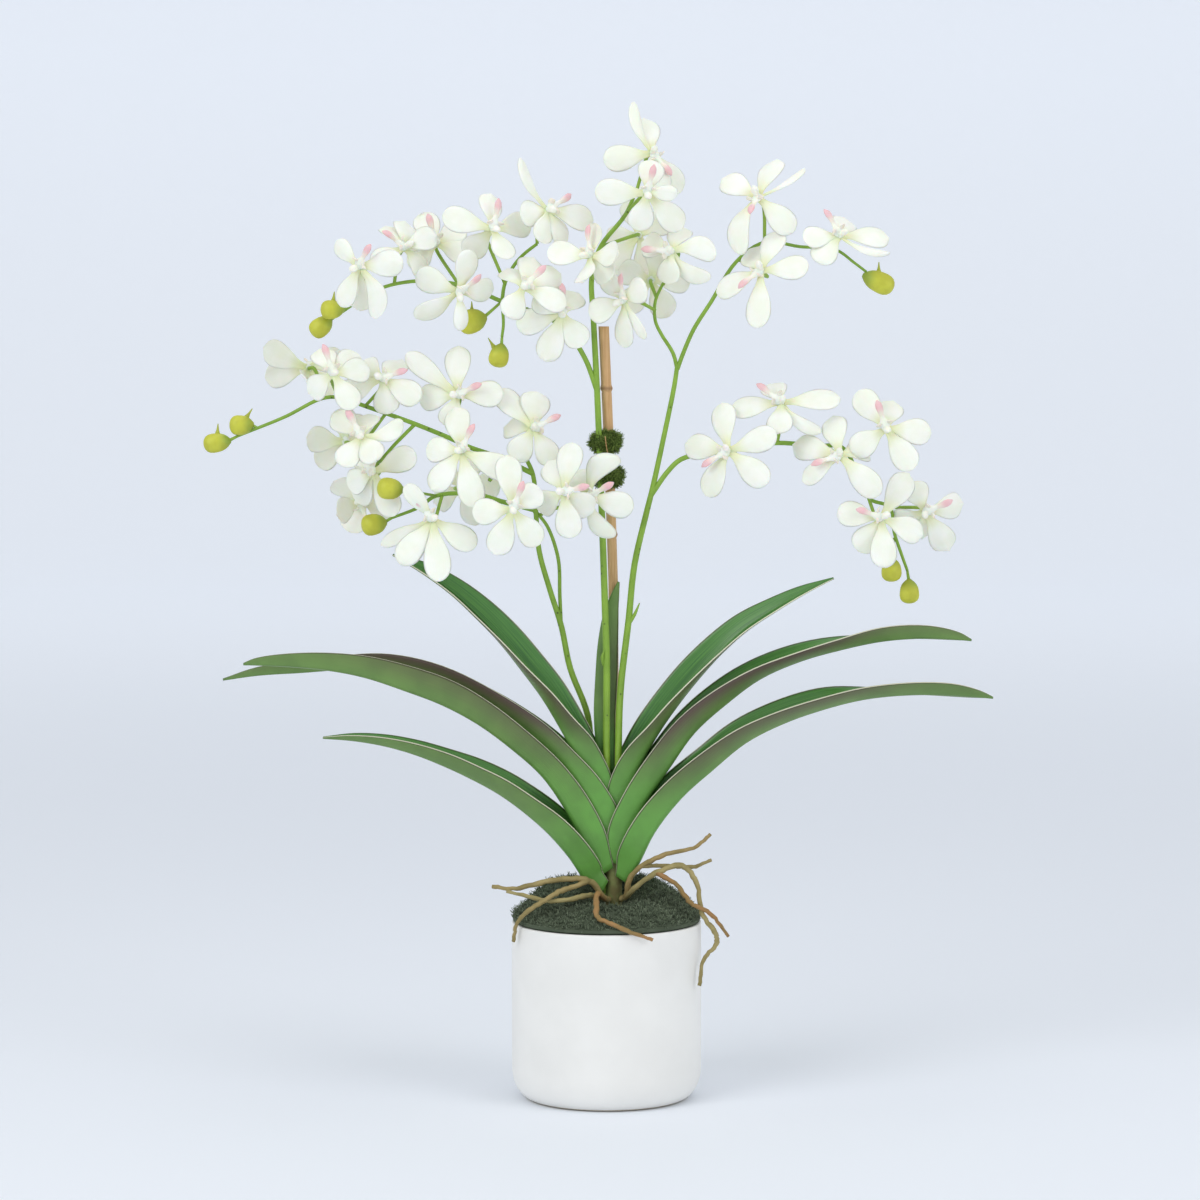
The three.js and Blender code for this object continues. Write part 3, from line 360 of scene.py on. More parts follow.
def sprigs(seats, normals, length, radius, rng, steps=3):
    """Fine crooked filaments that stand on seats, leaning at random from the normals."""
    count = len(seats)
    heading = normals + rng.normal(0, 0.55, (count, 3))
    heading /= np.linalg.norm(heading, axis=1)[:, None]
    reach = length * rng.uniform(0.55, 1.25, count)
    path = [seats]
    for _ in range(steps):
        path.append(path[-1] + heading * (reach / steps)[:, None])
        heading = heading + rng.normal(0, 0.75, (count, 3)) + 0.12 * normals
        heading /= np.linalg.norm(heading, axis=1)[:, None]
    side = np.cross(normals, rng.normal(0, 1, (count, 3)))
    side /= np.linalg.norm(side, axis=1)[:, None]
    other = np.cross(normals, side)
    points = np.zeros((count, steps + 1, 3, 3))
    for i, middle in enumerate(path):
        thick = radius * (1.15 - 0.75 * i / steps)
        for k in range(3):
            angle = 2 * math.pi * k / 3
            points[:, i, k] = middle + thick * (math.cos(angle) * side + math.sin(angle) * other)
    faces = []
    for s in range(count):
        for i in range(steps):
            low = (s * (steps + 1) + i) * 3
            for k in range(3):
                j = (k + 1) % 3
                faces.append((low + k, low + j, low + 3 + j, low + 3 + k))
        faces.append((low + 3, low + 4, low + 5))
    along = np.tile(np.repeat(np.linspace(0, 1, steps + 1), 3), count)
    tone = np.repeat(rng.uniform(0, 1, count), (steps + 1) * 3)
    return points.reshape(-1, 3), faces, {"along": along, "tone": tone}


def mark(tree, name):
    """The output of a mark kept on the mesh."""
    return add(tree, "ShaderNodeAttribute", attribute_name=name).outputs["Fac"]


def moss_material(name, dark, middle, pale):
    """Matt sprigs, darker towards their feet and each a little different."""
    made, tree, shader = material(name, Roughness=0.95, Specular_IOR_Level=0.15)
    colour = blend(tree, mark(tree, "tone"), srgb(middle), srgb(pale))
    colour = blend(tree, stretch(tree, mark(tree, "along"), 0.0, 0.8, 0.85, 0.0), colour, srgb(dark))
    colour, _, grain = mottled(tree, colour, srgb(dark), 70.0, 0.35, 2500.0)
    tree.links.new(colour, shader.inputs["Base Color"])
    relief(tree, shader, grain, 0.4, 0.0003)
    return made


rng = np.random.default_rng(7)
around = np.linspace(0, 2 * math.pi, 96, endpoint=False)
rings = []
for radius, height in [(61, FILL_TOP + 0.3), (61, POT_HEIGHT + 0.5), (MOSS_RIM - 1.5, POT_HEIGHT + 0.9)]:
    rings.append([(radius * math.cos(a), radius * math.sin(a), height) for a in around])
for radius in [*np.linspace(MOSS_RIM - 1, 14, 34), 13]:
    x, y = radius * np.cos(around), radius * np.sin(around)
    if radius < 43:
        x = x + STEM_X * (43 - radius) / 30
    rings.append(np.stack([x, y, tufted_height(x, y)], axis=1).tolist())
mound = marked(skin(rings), along=0.25, tone=0.5)
seat_x, seat_y = [], []
while len(seat_x) < MOSS_SPRIGS:
    x, y = rng.uniform(-64, 64, 2)
    if math.hypot(x, y) < 63.8 and math.hypot(x - STEM_X, y) > 8.5:
        seat_x.append(x)
        seat_y.append(y)
seat_x, seat_y = np.array(seat_x), np.array(seat_y)
seats = np.stack([seat_x, seat_y, tufted_height(seat_x, seat_y) - 0.6], axis=1)
step = 0.5
slope_x = (tufted_height(seat_x + step, seat_y) - tufted_height(seat_x - step, seat_y)) / (2 * step)
slope_y = (tufted_height(seat_x, seat_y + step) - tufted_height(seat_x, seat_y - step)) / (2 * step)
slope_x, slope_y = (np.clip(slope, -MOSS_STEEPEST, MOSS_STEEPEST) for slope in (slope_x, slope_y))
lean = 1.0 / np.sqrt(1 + slope_x ** 2 + slope_y ** 2)
normals = np.stack([-slope_x, -slope_y, np.ones(MOSS_SPRIGS)], axis=1) * lean[:, None]
moss = moss_material("reindeer_moss", "#333b2e", "#62705a", "#98a48a")
moss_bed = piece("moss_cushion", joined([mound, sprigs(seats, normals, 4.2, 0.34, rng)]), moss)
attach(moss_bed, "root")
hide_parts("moss_bed")

# Main stem: the short thick stem that carries the fan, ringed with the scars of old leaves.
STEM_RADIUS = 6
STEM_FOOT = 92
STEM_TOP = 170
scarred = []
for z in np.linspace(STEM_FOOT, STEM_TOP, 53):
    scar = 0.35 * math.exp(-(((z - STEM_FOOT) % 13 - 6.5) / 1.2) ** 2)
    scarred.append((STEM_RADIUS - 0.45 + scar - (0.5 if z in (STEM_FOOT, STEM_TOP) else 0), z))
points, faces, marks = lathe(scarred, 32)
caudex, tree, shader = material("stem_bark", Roughness=0.75)
colour, patches, grain = mottled(tree, srgb("#7d8a4e"), srgb("#6a5a3a"), 120.0, 0.7, 1200.0)
tree.links.new(colour, shader.inputs["Base Color"])
tree.links.new(stretch(tree, patches, 0, 1, 0.65, 0.85), shader.inputs["Roughness"])
relief(tree, shader, grain, 0.4, 0.0004)
main_stem = piece("stem_main", ([(x + STEM_X, y, z) for x, y, z in points], faces, marks), caudex)
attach(main_stem, "root")
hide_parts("main_stem")

# Leaves: thick leathery straps, folded along a keel and stacked in a fan, each base inside
# the one below. They are glossy inside, flushed purple on the outside, and edged with a
# fine pale line. A station is [x, z, width of one half, angle of the near half, angle of
# the far half, y of the keel]; 0 stands in the plane of the fan, 90 points at the viewer.
LEAF_THICKNESS = 1.2
TROUGH_START = 6.9
TROUGH_STEP = 1.56
TROUGH_GROWTH = 0.26
TROUGH_LEAST = 0.75
LEAVES = [
    ("right_1", 1, 5, 0.75, [
        [13.2, 149, 8, 0, 0], [21, 160, 15, 2, -2], [33, 184, 16.5, 15, -8], [51, 207, 17.5, 28, -5],
        [72, 226, 17.5, 33, -3], [95, 245, 17, 45, -10], [120, 258, 16.5, 52, -16], [148, 268, 16, 55, -30],
        [176, 275, 14.5, 52, -62], [205, 278, 13, 46, -88], [234, 278, 10, 34, -102], [254, 276.5, 5, 20, -104],
        [264, 275.5, 1, 10, -100]]),
    ("right_2", 1, 3, 1.0, [
        [12.8, 161, 8, 0, 0], [17, 178, 16, 2, -3], [27, 204, 16.5, 15, -6], [43, 228, 17.5, 18, -3],
        [60, 252, 17, 28, -3], [82, 272, 17, 40, -16], [105, 289, 16, 54, -34], [132, 301, 15, 60, -42],
        [160, 309, 14, 54, -56], [189, 315, 12.5, 38, -82], [218, 317, 9.5, 22, -98], [240, 316, 5, 10, -102],
        [249, 315, 1, 6, -100]]),
    ("right_3", 1, 1, 0.6, [
        [11.6, 177, 8, 0, 0], [13, 190, 14, 0, 0], [16, 210, 15, 0, 0], [24, 231, 16, 26, -8],
        [35, 251, 17, 55, -2], [48, 270, 17, 66, -6], [62, 288, 16.5, 75, -8], [78, 306, 15, 82, -14],
        [95, 322, 13, 86, -20], [114, 335, 10, 88, -25], [134, 347, 6.5, 89, -34], [155, 357.5, 1, 88, -40]]),
    ("left_1", -1, 6, 0.1, [
        [-3.2, 143, 8, 0, 0], [-14, 150, 14, 2, -2], [-26, 167, 16, 18, -4], [-40, 183, 17, 30, -3],
        [-56, 197, 17, 40, -4], [-74, 210, 16.5, 43, -14], [-92, 220, 15.5, 45, -24],
        [-111, 229, 13.5, 42, -34],
        [-131, 237, 11, 43, -35], [-152, 243, 8.5, 45, -36], [-173, 246.5, 5.5, 46, -36],
        [-194, 248, 1, 40, -36]]),
    ("left_2", -1, 4, 0.5, [
        [-2.6, 155, 8, 0, 0], [-15, 174, 16, 2, -3], [-28, 199, 17, 4, -8], [-44, 222, 16.5, 14, -22],
        [-65, 241, 17, 16, -42], [-88, 258, 17.5, 12, -56], [-112, 271, 18, 4, -64], [-138, 281, 17, 0, -72],
        [-165, 290, 14.5, 0, -92], [-193, 295.5, 11.5, 4, -98], [-222, 298, 8, 6, -100],
        [-240, 298.5, 4.5, 4, -100],
        [-248, 298.5, 1.2, 4, -100]]),
    ("left_3", -1, 2, 1.0, [
        [-2, 168, 8, 0, 0], [-5, 188, 14.5, 0, 0, 0], [-16, 210, 15, 10, -6, 0.5], [-32, 230, 14.5, 22, -14, 2],
        [-50, 247, 14, 18, -18, 5], [-83, 268, 14, 18, -30, 12], [-117, 284, 13.5, 14, -40, 18],
        [-150, 292, 12, 8, -52, 23], [-180, 293, 10, 6, -60, 24], [-210, 291, 8, 4, -66, 24],
        [-240, 289, 5.5, 2, -70, 24], [-264, 285.5, 1, 0, -60, 24]]),
    ("left_4", -1, 0, 0.8, [
        [-3, 190, 7, 0, 0], [-5, 203, 11, 0, 0], [-10, 218, 13.5, 3, -3], [-21, 236, 16.5, 14, -2],
        [-32, 256, 17.5, 46, -2], [-44, 276, 18, 62, -2], [-58, 295, 17.5, 74, -2], [-73, 314, 16.5, 81, -3],
        [-89, 331, 15, 84, -4], [-106, 347, 12, 84, -6], [-125, 361, 8, 84, -8], [-146, 373.5, 1, 80, -10]]),
    ("centre", -1, -4, 0.4, [
        [0, 222, 6, 0, 0, 4.1], [-6, 240, 12, 0, -1, 4], [-8, 262, 14, 0, -4, 3.8], [-7, 290, 14.5, 0, -7, 3.8],
        [-5, 315, 13, 0, -10, 3.8], [-1, 335, 9.5, 1, -12, 3.9], [4, 347, 5, 2, -12, 4.1],
        [8, 355, 1, 2, -10, 4.3]]),
]


def smooth(rows, steps):
    """Rows of numbers, each beginning with a place, run into one curve of that many steps a row."""
    rows = [np.array(row, float) for row in rows]
    rows = [2 * rows[0] - rows[1], *rows, 2 * rows[-1] - rows[-2]]
    run = []
    for a, b, c, d in zip(rows, rows[1:], rows[2:], rows[3:]):
        before, across, after = (max(np.linalg.norm((q - p)[:3]), 1e-3) ** 0.5
                                 for p, q in ((a, b), (b, c), (c, d)))
        leave = across * ((b - a) / before - (c - a) / (before + across) + (c - b) / across)
        arrive = across * ((c - b) / across - (d - b) / (across + after) + (d - c) / after)
        for t in np.arange(steps) / steps:
            run.append((2 * t ** 3 - 3 * t ** 2 + 1) * b + (t ** 3 - 2 * t ** 2 + t) * leave
                       + (3 * t ** 2 - 2 * t ** 3) * c + (t ** 3 - t ** 2) * arrive)
    return np.array([*run, rows[-2]])


def strap(side, rank, stations):
    """The shell of one folded leaf, with marks along it, across it and for its inner face."""
    full = max(TROUGH_LEAST, 6.3 + TROUGH_STEP * rank)
    start = stations[0][1]
    rows = smooth([[x, (y or [0])[0], z, width, near, far] for x, z, width, near, far, *y in stations], 5)
    heading = np.gradient(rows[:, :3], axis=0)
    run = np.concatenate([[0], np.cumsum(np.linalg.norm(np.diff(rows[:, :3], axis=0), axis=1))])
    rings, along, across, inside = [], [], [], []
    for (x, y, z, width, near, far), way, gone in zip(rows, heading, run / run[-1]):
        width = max(width, 0.6)
        way = np.array([way[0], 0, way[2]]) / math.hypot(way[0], way[2])
        inward = np.array([-way[2], 0, way[0]]) * side
        grown = min(full, min(TROUGH_START, full) + TROUGH_GROWTH * max(0, z - start))
        away = math.hypot(x - STEM_X, z - start)
        open_share = 1 - np.interp(away, [30, 50, 90, 110], [0, 0.156, 0.844, 1])
        breadth = min(0.8 + (grown - 0.8) * open_share, 0.2 + width * 0.9)
        corner = 0.12 * breadth

        def half(sign, degrees):
            lean = math.radians(degrees) * sign
            out = np.array([math.cos(lean), math.sin(lean)])
            bow = np.array([-out[1], out[0]]) * 0.035 * width
            return [np.array([corner, breadth]) + out * width * s + bow * math.sin(math.pi * s) * open_bow
                    for s in (1, 0.86, 0.62, 0.36, 0.12, 0)]

        open_bow = 1 - open_share
        flip = np.array([1, -1])
        middle = [*half(1, near), np.array([0.02 * breadth, 0.5 * breadth]), np.array([0.0, 0.0]),
                  np.array([0.02 * breadth, -0.5 * breadth]), *[p * flip for p in half(-1, far)[::-1]]]
        middle = np.array(middle)
        slope = np.gradient(middle, axis=0)
        slope /= np.maximum(np.linalg.norm(slope, axis=1), 1e-6)[:, None]
        normal = np.stack([slope[:, 1], -slope[:, 0]], axis=1)
        share = np.array([1, 0.86, 0.62, 0.36, 0.12, 0, 0, 0, 0, 0, 0.12, 0.36, 0.62, 0.86, 1])
        half_thick = LEAF_THICKNESS / 2 * min(1, 0.62 + width * 0.05) * (1 - 0.35 * share ** 3)
        half_thick[7] *= 1.25
        under = middle + normal * half_thick[:, None]
        upper = middle - normal * half_thick[:, None]
        outline = [*under, *upper[::-1]]
        rings.append([(np.array([x, y, z]) + inward * u + np.array([0, -b, 0])).tolist() for u, b in outline])
        along.extend([gone] * 30)
        across.extend([*share, *share[::-1]])
        inside.extend([0] * 15 + [1] * 15)
    points, faces, _ = skin(rings)
    return points, faces, {"along": along, "across": across, "inside": inside}


def leaf_material(name, flush):
    """Leathery leaf skin: fresh green at the base, flushed along the edge, glossy inside, with a thin band of
    painted shade just inside the pale margin line.
    """
    made, tree, shader = material(name, Specular_IOR_Level=0.5, Coat_Roughness=0.25)
    along, across, inside = mark(tree, "along"), mark(tree, "across"), mark(tree, "inside")
    place = add(tree, "ShaderNodeCombineXYZ", [(0, calc(tree, "MULTIPLY", across, 9.0)),
                                               (1, calc(tree, "MULTIPLY", along, 1.6))])
    streaks = add(tree, "ShaderNodeTexNoise", [("Vector", place.outputs[0]), ("Scale", 3.0), ("Detail", 4.0)])
    outer = blend(tree, stretch(tree, along, 0.1, 0.42), srgb("#66a345"), srgb("#6c8f48"))
    shaded, patches, grain = mottled(tree, outer, srgb("#4c6c38"), 45.0, 0.35, 1400.0)
    rise = calc(tree, "MULTIPLY", stretch(tree, along, 0.1, 0.36), stretch(tree, along, 0.62, 0.9, 1.0, 0.25))
    ragged = calc(tree, "MULTIPLY", streaks.outputs[0], 0.35)
    edge = stretch(tree, calc(tree, "ADD", across, ragged), 0.2, 1.15)
    flushed = calc(tree, "MULTIPLY", calc(tree, "MULTIPLY", rise, edge), flush)
    outer = blend(tree, flushed, shaded, srgb("#5c4a42"))
    inner_green = blend(tree, stretch(tree, streaks.outputs[0], 0.3, 0.7), srgb("#3f7535"), srgb("#5a9440"))
    colour = blend(tree, inside, outer, inner_green)
    # Painted shade: a thin dark band along the leaf's edge, just inside the pale margin line, on both faces.
    painted_edge_shade = calc(tree, "MULTIPLY", stretch(tree, across, 0.9, 0.965), 0.7)
    colour = blend(tree, painted_edge_shade, colour, srgb("#3a2f26"))
    colour = blend(tree, stretch(tree, across, 0.975, 0.998), colour, srgb("#d9d8bd"))
    tree.links.new(colour, shader.inputs["Base Color"])
    tree.links.new(stretch(tree, inside, 0, 1, 0.48, 0.3), shader.inputs["Roughness"])
    tree.links.new(calc(tree, "MULTIPLY", inside, 0.25), shader.inputs["Coat Weight"])
    height = calc(tree, "ADD", calc(tree, "MULTIPLY", streaks.outputs[0], 0.7),
                  calc(tree, "MULTIPLY", grain, 0.3))
    relief(tree, shader, height, 0.35, 0.0006)
    return made


for name, side, rank, flush, stations in LEAVES:
    leaf = piece(f"strap_{name}", strap(side, rank, stations), leaf_material(f"leaf_skin_{name}", flush))
    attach(leaf, "root")
    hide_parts(f"leaf_{name}")

# Flower stems: three smooth green stems that fork into sprays, each flower on its own short
# stalk, with small bracts at the forks and plump yellow-green buds at the ends.
STEM_GAP = 0.3
PEDICEL_RADIUS = 1.15
LEFT_ROUTE = [
    [1, 10.8, 133], [-1, 17.5, 143], [-4, 19.2, 165], [-7, 19, 190], [-10, 18, 225], [-13, 15, 262],
    [-25, 12, 295], [-31, 10, 324], [-39, 7, 350], [-46, 4, 376], [-48, 1, 400], [-50, 0, 428], [-56, 0, 442],
]
CENTRE_ROUTE = [
    [2.2, -2.6, STEM_TOP + STEM_GAP], [0, -2.6, 234], [0, -2.5, 300], [-1, -2.2, 335], [-3, -1.8, 395],
    [-5, -1, 450], [-7, -0.6, 496], [-9, -0.4, 535], [-10, 0, 563], [-4, 0, 583], [13, 0, 605], [20, 0, 621],
]
RIGHT_ROUTE = [
    [7.8, -2.6, STEM_TOP + STEM_GAP], [8, -2.6, 234], [9.5, -2.6, 281], [15, -2.2, 329], [19, -1.4, 367],
    [27, -0.6, 402], [31, 0, 418], [38, 0, 450], [46, 0, 489], [48, 0, 503],
]
# Each row is the route and its radii from the first point to the last
SPRAYS = {
    "left": [
        (LEFT_ROUTE, [2.5, 2.4, 2.3, 2.1, 1.9, 1.7, 1.4]),
        ([[-48, 1, 402], [-58, -1, 420], [-75, -1, 430], [-80, -1, 424]], [1.7, 2.2, 2.4, 1.2]),
        ([[-31, 10, 322], [-32, 11, 345], [-33, 9, 370], [-40, 5, 392], [-47, 2, 402]], [1.3, 1.2]),
        ([[-48, 1, 404], [-71, 0, 410], [-89, 0, 415], [-116, 0, 414], [-128, 0, 406], [-146, 0, 399]],
         [1.8, 1.5, 1]),
        ([[-50, 0, 429], [-73, 0, 440], [-93, 0, 447], [-106, 0, 453], [-133, 0, 464], [-164, 0, 475],
          [-182, 0, 481], [-194, 0, 480], [-218, 0, 468], [-240, 0, 459], [-250, 0, 455]], [1.8, 1.6, 1.3, 1]),
        ([[-130, 0, 463], [-144, 2, 449], [-152, 5, 440], [-157, 11, 435]], [1.3, 1.1]),
    ],
    "centre": [
        (CENTRE_ROUTE, [2.5, 2.4, 2.2, 2, 1.7, 1.2]),
        ([[-6, -0.8, 484], [-15, -0.5, 508], [-30, 0, 529], [-50, 0, 539], [-71, 0, 546], [-95, 0, 556],
          [-123, 0, 560], [-150, 0, 556], [-167, 0, 547], [-176, 0, 542]], [1.8, 1.6, 1.3, 1]),
        ([[-71, 0, 546], [-69, 0, 558], [-63, 0, 570], [-56, 0, 578], [-47, 0, 585]], [1.3, 1.1]),
        ([[-71, 0, 545], [-70, 0, 531], [-71, 0, 522]], [1.1, 1]),
        ([[-2, -2.4, 298], [-3, -4.4, 304], [-1.5, -4.6, 309]], [0.9, 1.2, 0.4]),
    ],
    "right": [
        (RIGHT_ROUTE, [2.5, 2.3, 2.1, 1.8, 1.5]),
        ([[48, 0, 500], [45, 0, 511], [37, 0, 524], [33, 0, 533], [33, 0, 546], [38, 0, 558]], [1.4, 1.2, 1]),
        ([[48, 0, 500], [52, 0, 511], [59, 0, 527], [71, 0, 546], [88, 0, 573], [107, 0, 586], [131, 0, 583],
          [155, 0, 581], [168, 0, 572], [176, 0, 566]], [1.5, 1.4, 1.1, 0.9]),
        ([[30, 0, 414], [42, 0, 431], [51, 0, 439], [77, 0, 445], [116, 0, 450], [142, 0, 448], [160, 0, 447],
          [170, 0, 431], [179, 0, 412], [193, 2, 406], [196, 2, 389], [201, 1, 374], [205, 1, 363]],
         [1.8, 1.6, 1.3, 1]),
        ([[14.5, -2.2, 326], [19, -2.4, 333], [22.5, -2.4, 341]], [1.6, 1.2, 0.4]),
    ],
}
# Each bud: where its stalk leaves the stem, its base, its far end, its radius and its spur
BUDS = {
    "left": [
        ([-146, 0, 399], [-149.8, -2, 396.2], [-166.9, -3, 393.3], 7, None),
        ([-116, 0, 414], [-137, -30, 419.8], [-154.7, -31, 421.8], 7, None),
        ([-250, 0, 455], [-255.7, 0, 451.5], [-274.1, 0, 448.9], 6.3, [0.8, 0, 13]),
        ([-237, 0, 460], [-240, 0, 462.5], [-256.4, 0, 461.9], 6.5, [7.5, 0, 11.2]),
    ],
    "centre": [
        ([-71, 0, 522], [-71, 0, 517.2], [-74.8, 0, 501.4], 6.5, [-7.6, 0, 12.1]),
        ([-71, 0, 546], [-81.7, -3, 535.5], [-100.6, -6, 530.2], 8, [-0.2, 0, 13.4]),
        ([-176, 0, 542], [-178, -2, 540.9], [-193.9, -2, 540.2], 6.2, [1.5, 0, 12.2]),
        ([-170, 0, 545], [-187.4, 8, 533.9], [-200.8, 8, 523.7], 6.4, None),
    ],
    "right": [
        ([176, 0, 566], [173.9, 0, 563.9], [194.5, 0, 554.7], 7, [0.3, 0, 13.5]),
        ([205, 1, 363], [206.2, 1, 356.8], [206.6, 1, 340.3], 6.4, None),
        ([196, 2, 385], [193.6, -3, 372], [194, -4, 355.6], 6.6, None),
    ],
}
# How a flower holds its petals: height of the tips, of the bow on the way, of the margins
OPEN, REFLEXED, CUPPED = (-2.5, 1.2, -1), (-7, 2.6, -1.6), (5, -1.6, 1.2)
# Each flower: name, middle, the way it faces (azimuth from the viewer to the right, and
# elevation), the turn of its lip, how it holds its petals, its stem, where its stalk leaves
FLOWERS = [
    ("A1", [-204, 20, 500], -150, 0, 240, REFLEXED, "left", [-192, 0, 480.5]),
    ("A2", [-184, -30, 498], 10, 25, 200, OPEN, "left", [-182, 0, 480.5]),
    ("A3", [-152, -8, 494], -10, 20, 100, OPEN, "left", [-164, 0, 475]),
    ("B1", [-165, -34, 456], -10, 20, 210, OPEN, "left", [-150, 0, 470]),
    ("B2", [-179, 26, 449], -160, 0, 170, REFLEXED, "left", [-154.5, 8, 437.5]),
    ("B3", [-158, -15, 431], -20, 10, 220, OPEN, "left", [-152, 5, 440]),
    ("B4", [-168, 14, 410], -10, -20, 20, CUPPED, "left", [-155.5, 9, 436.5]),
    ("C1", [-101, -9, 483], -10, 10, 110, OPEN, "left", [-106, 0, 453]),
    ("C2", [-98, -30, 446], -10, 20, 150, OPEN, "left", [-93, 0, 447]),
    ("C3", [-50, -4, 460], 25, 20, 110, OPEN, "left", [-54, 0, 437]),
    ("C4", [-63, -50, 408], 10, 10, 160, OPEN, "left", [-60, -1, 421]),
    ("C5", [-29, -38, 419], -10, 10, 100, OPEN, "left", [-48, 1, 408]),
    ("C6", [-12, -20, 415], 0, 0, 120, REFLEXED, "left", [-46, 2.4, 400.6]),
    ("C7", [-117, -34, 400], 0, 25, 230, OPEN, "left", [-112, 0, 414]),
    ("C8", [-99, 26, 418], 150, 0, 10, CUPPED, "left", [-89, 0, 415]),
    ("D1", [82, -26, 446], -30, 10, 310, OPEN, "right", [72, -1, 443]),
    ("D2", [118, -16, 478], -10, 35, 240, OPEN, "right", [116, 0, 450]),
    ("D3", [157, -31, 443], -20, 20, 300, REFLEXED, "right", [150, 0, 447.5]),
    ("D4", [188, -28, 461], 0, 10, 200, OPEN, "right", [163, 0, 442.5]),
    ("D5", [185, -34, 401], 10, 25, 260, OPEN, "right", [176, 0, 419]),
    ("D6", [216, -9, 404], 10, -10, 120, REFLEXED, "right", [193, 2, 406]),
    ("E1", [-166, -36, 570], -20, 0, 140, OPEN, "centre", [-166, 0, 547.5]),
    ("E2", [-137, -6, 582], 30, 35, 245, REFLEXED, "centre", [-144, 0, 558]),
    ("E3", [-116, 12, 585], 0, 28, 197, CUPPED, "centre", [-100, 0, 557]),
    ("E4", [-77, -18, 595], 30, 15, 170, OPEN, "centre", [-69, 0, 558]),
    ("E5", [-40, -10, 608], 50, 10, 118, OPEN, "centre", [-47, 0, 585]),
    ("E6", [-100, -22, 553], 30, -25, 150, REFLEXED, "centre", [-88, 0, 552]),
    ("E7", [-56, -31, 556], 20, 20, 130, OPEN, "centre", [-58, 0, 542]),
    ("E8", [-11, -22, 577], -50, 20, 180, CUPPED, "centre", [-10, 0, 560]),
    ("F1", [31, 2, 646], 20, 10, 30, OPEN, "centre", [20, 0, 620]),
    ("F2", [27, -22, 619], 10, 0, 170, OPEN, "centre", [10, 0, 601.5]),
    ("F3", [22, 27, 591], 170, 0, 50, OPEN, "centre", [-4, 0, 583]),
    ("F4", [44, -12, 580], -30, 10, 270, OPEN, "right", [38, 0, 557]),
    ("G1", [12, -16, 547], -50, 0, 160, OPEN, "right", [33, 0, 540]),
    ("G2", [30, 15, 560], 180, 10, 200, OPEN, "right", [34, 0, 548]),
    ("H1", [-30, -13, 538], 0, 10, 180, OPEN, "centre", [-36, 0, 532]),
    ("J1", [102, -12, 616], -30, 35, 10, REFLEXED, "right", [107, 0, 585]),
    ("J2", [104, -24, 567], -30, 25, 330, OPEN, "right", [90, 0, 574]),
    ("J3", [157, -14, 590], 20, 40, 210, OPEN, "right", [153, 0, 580]),
]


def tube(path, radii, sides=10, deep=None, tone=0.5):
    """A round shell along a path. deep gives its other radii where it isn't round."""
    path = np.asarray(path, float)
    ways = np.gradient(path, axis=0)
    side = np.array([0, 1, 0]) if abs(ways[0][1]) < 0.9 * np.linalg.norm(ways[0]) else np.array([1, 0, 0])
    angles = np.linspace(0, 2 * math.pi, sides, endpoint=False)
    gone = np.linspace(0, 1, len(path))
    wide = np.interp(gone, np.linspace(0, 1, len(radii)), radii)
    deep = wide if deep is None else np.interp(gone, np.linspace(0, 1, len(deep)), deep)
    rings = []
    for point, way, a, b in zip(path, ways, wide, deep):
        way = way / np.linalg.norm(way)
        side = side - way * (side @ way)
        side = side / np.linalg.norm(side)
        other = np.cross(way, side)
        rings.append([point + a * math.cos(t) * side + b * math.sin(t) * other for t in angles])
    points, faces, _ = skin(rings)
    return points, faces, {"along": np.repeat(gone, sides), "tone": [tone] * len(points)}


def axes(azimuth, elevation, roll):
    """Rows: the way a flower's lip points, across it, and the way the flower faces."""
    a, e, r = (math.radians(v) for v in (azimuth, elevation, roll))
    facing = np.array([math.sin(a) * math.cos(e), -math.cos(a) * math.cos(e), math.sin(e)])
    down = np.array([0, 0, -1]) + facing * facing[2]
    down /= np.linalg.norm(down)
    lip = down * math.cos(r) + np.cross(facing, down) * math.sin(r)
    return np.array([lip, np.cross(facing, lip), facing])


def bud(start, base, tip, radius, spur):
    """An acorn-shaped bud, lightly ribbed, blunt at its far end, with a spur where it has one."""
    base, tip = np.array(base, float), np.array(tip, float)
    shares = np.array([-0.02, 0.03, 0.1, 0.2, 0.34, 0.5, 0.65, 0.78, 0.88, 0.95, 0.99, 1.0])
    fullness = np.array([0.2, 0.36, 0.58, 0.8, 0.96, 1.03, 1.05, 0.99, 0.84, 0.6, 0.3, 0.06])
    sides = 24
    points, faces, marks = tube([base + (tip - base) * s for s in shares], [1, 1], sides)
    ribbed = []
    for i, p in enumerate(np.array(points)):
        share, full = shares[i // sides], fullness[i // sides]
        middle = base + (tip - base) * share
        turn = 2 * math.pi * i / sides
        rib = 1 + (0.05 * math.cos(3 * turn) + 0.02 * math.cos(6 * turn)) * full
        ribbed.append(middle + (p - middle) * radius * full * rib)
    marks["along"] = np.repeat(shares, sides)
    shells = [(ribbed, faces, marks)]
    if spur:
        foot = base + (tip - base) * 0.5
        shells.append(tube(smooth([foot, foot + np.array(spur) * 0.5, foot + np.array(spur)], 5),
                           [radius * 0.72, radius * 0.4, 0.9, 0.3], 12, tone=0.2))
    return shells


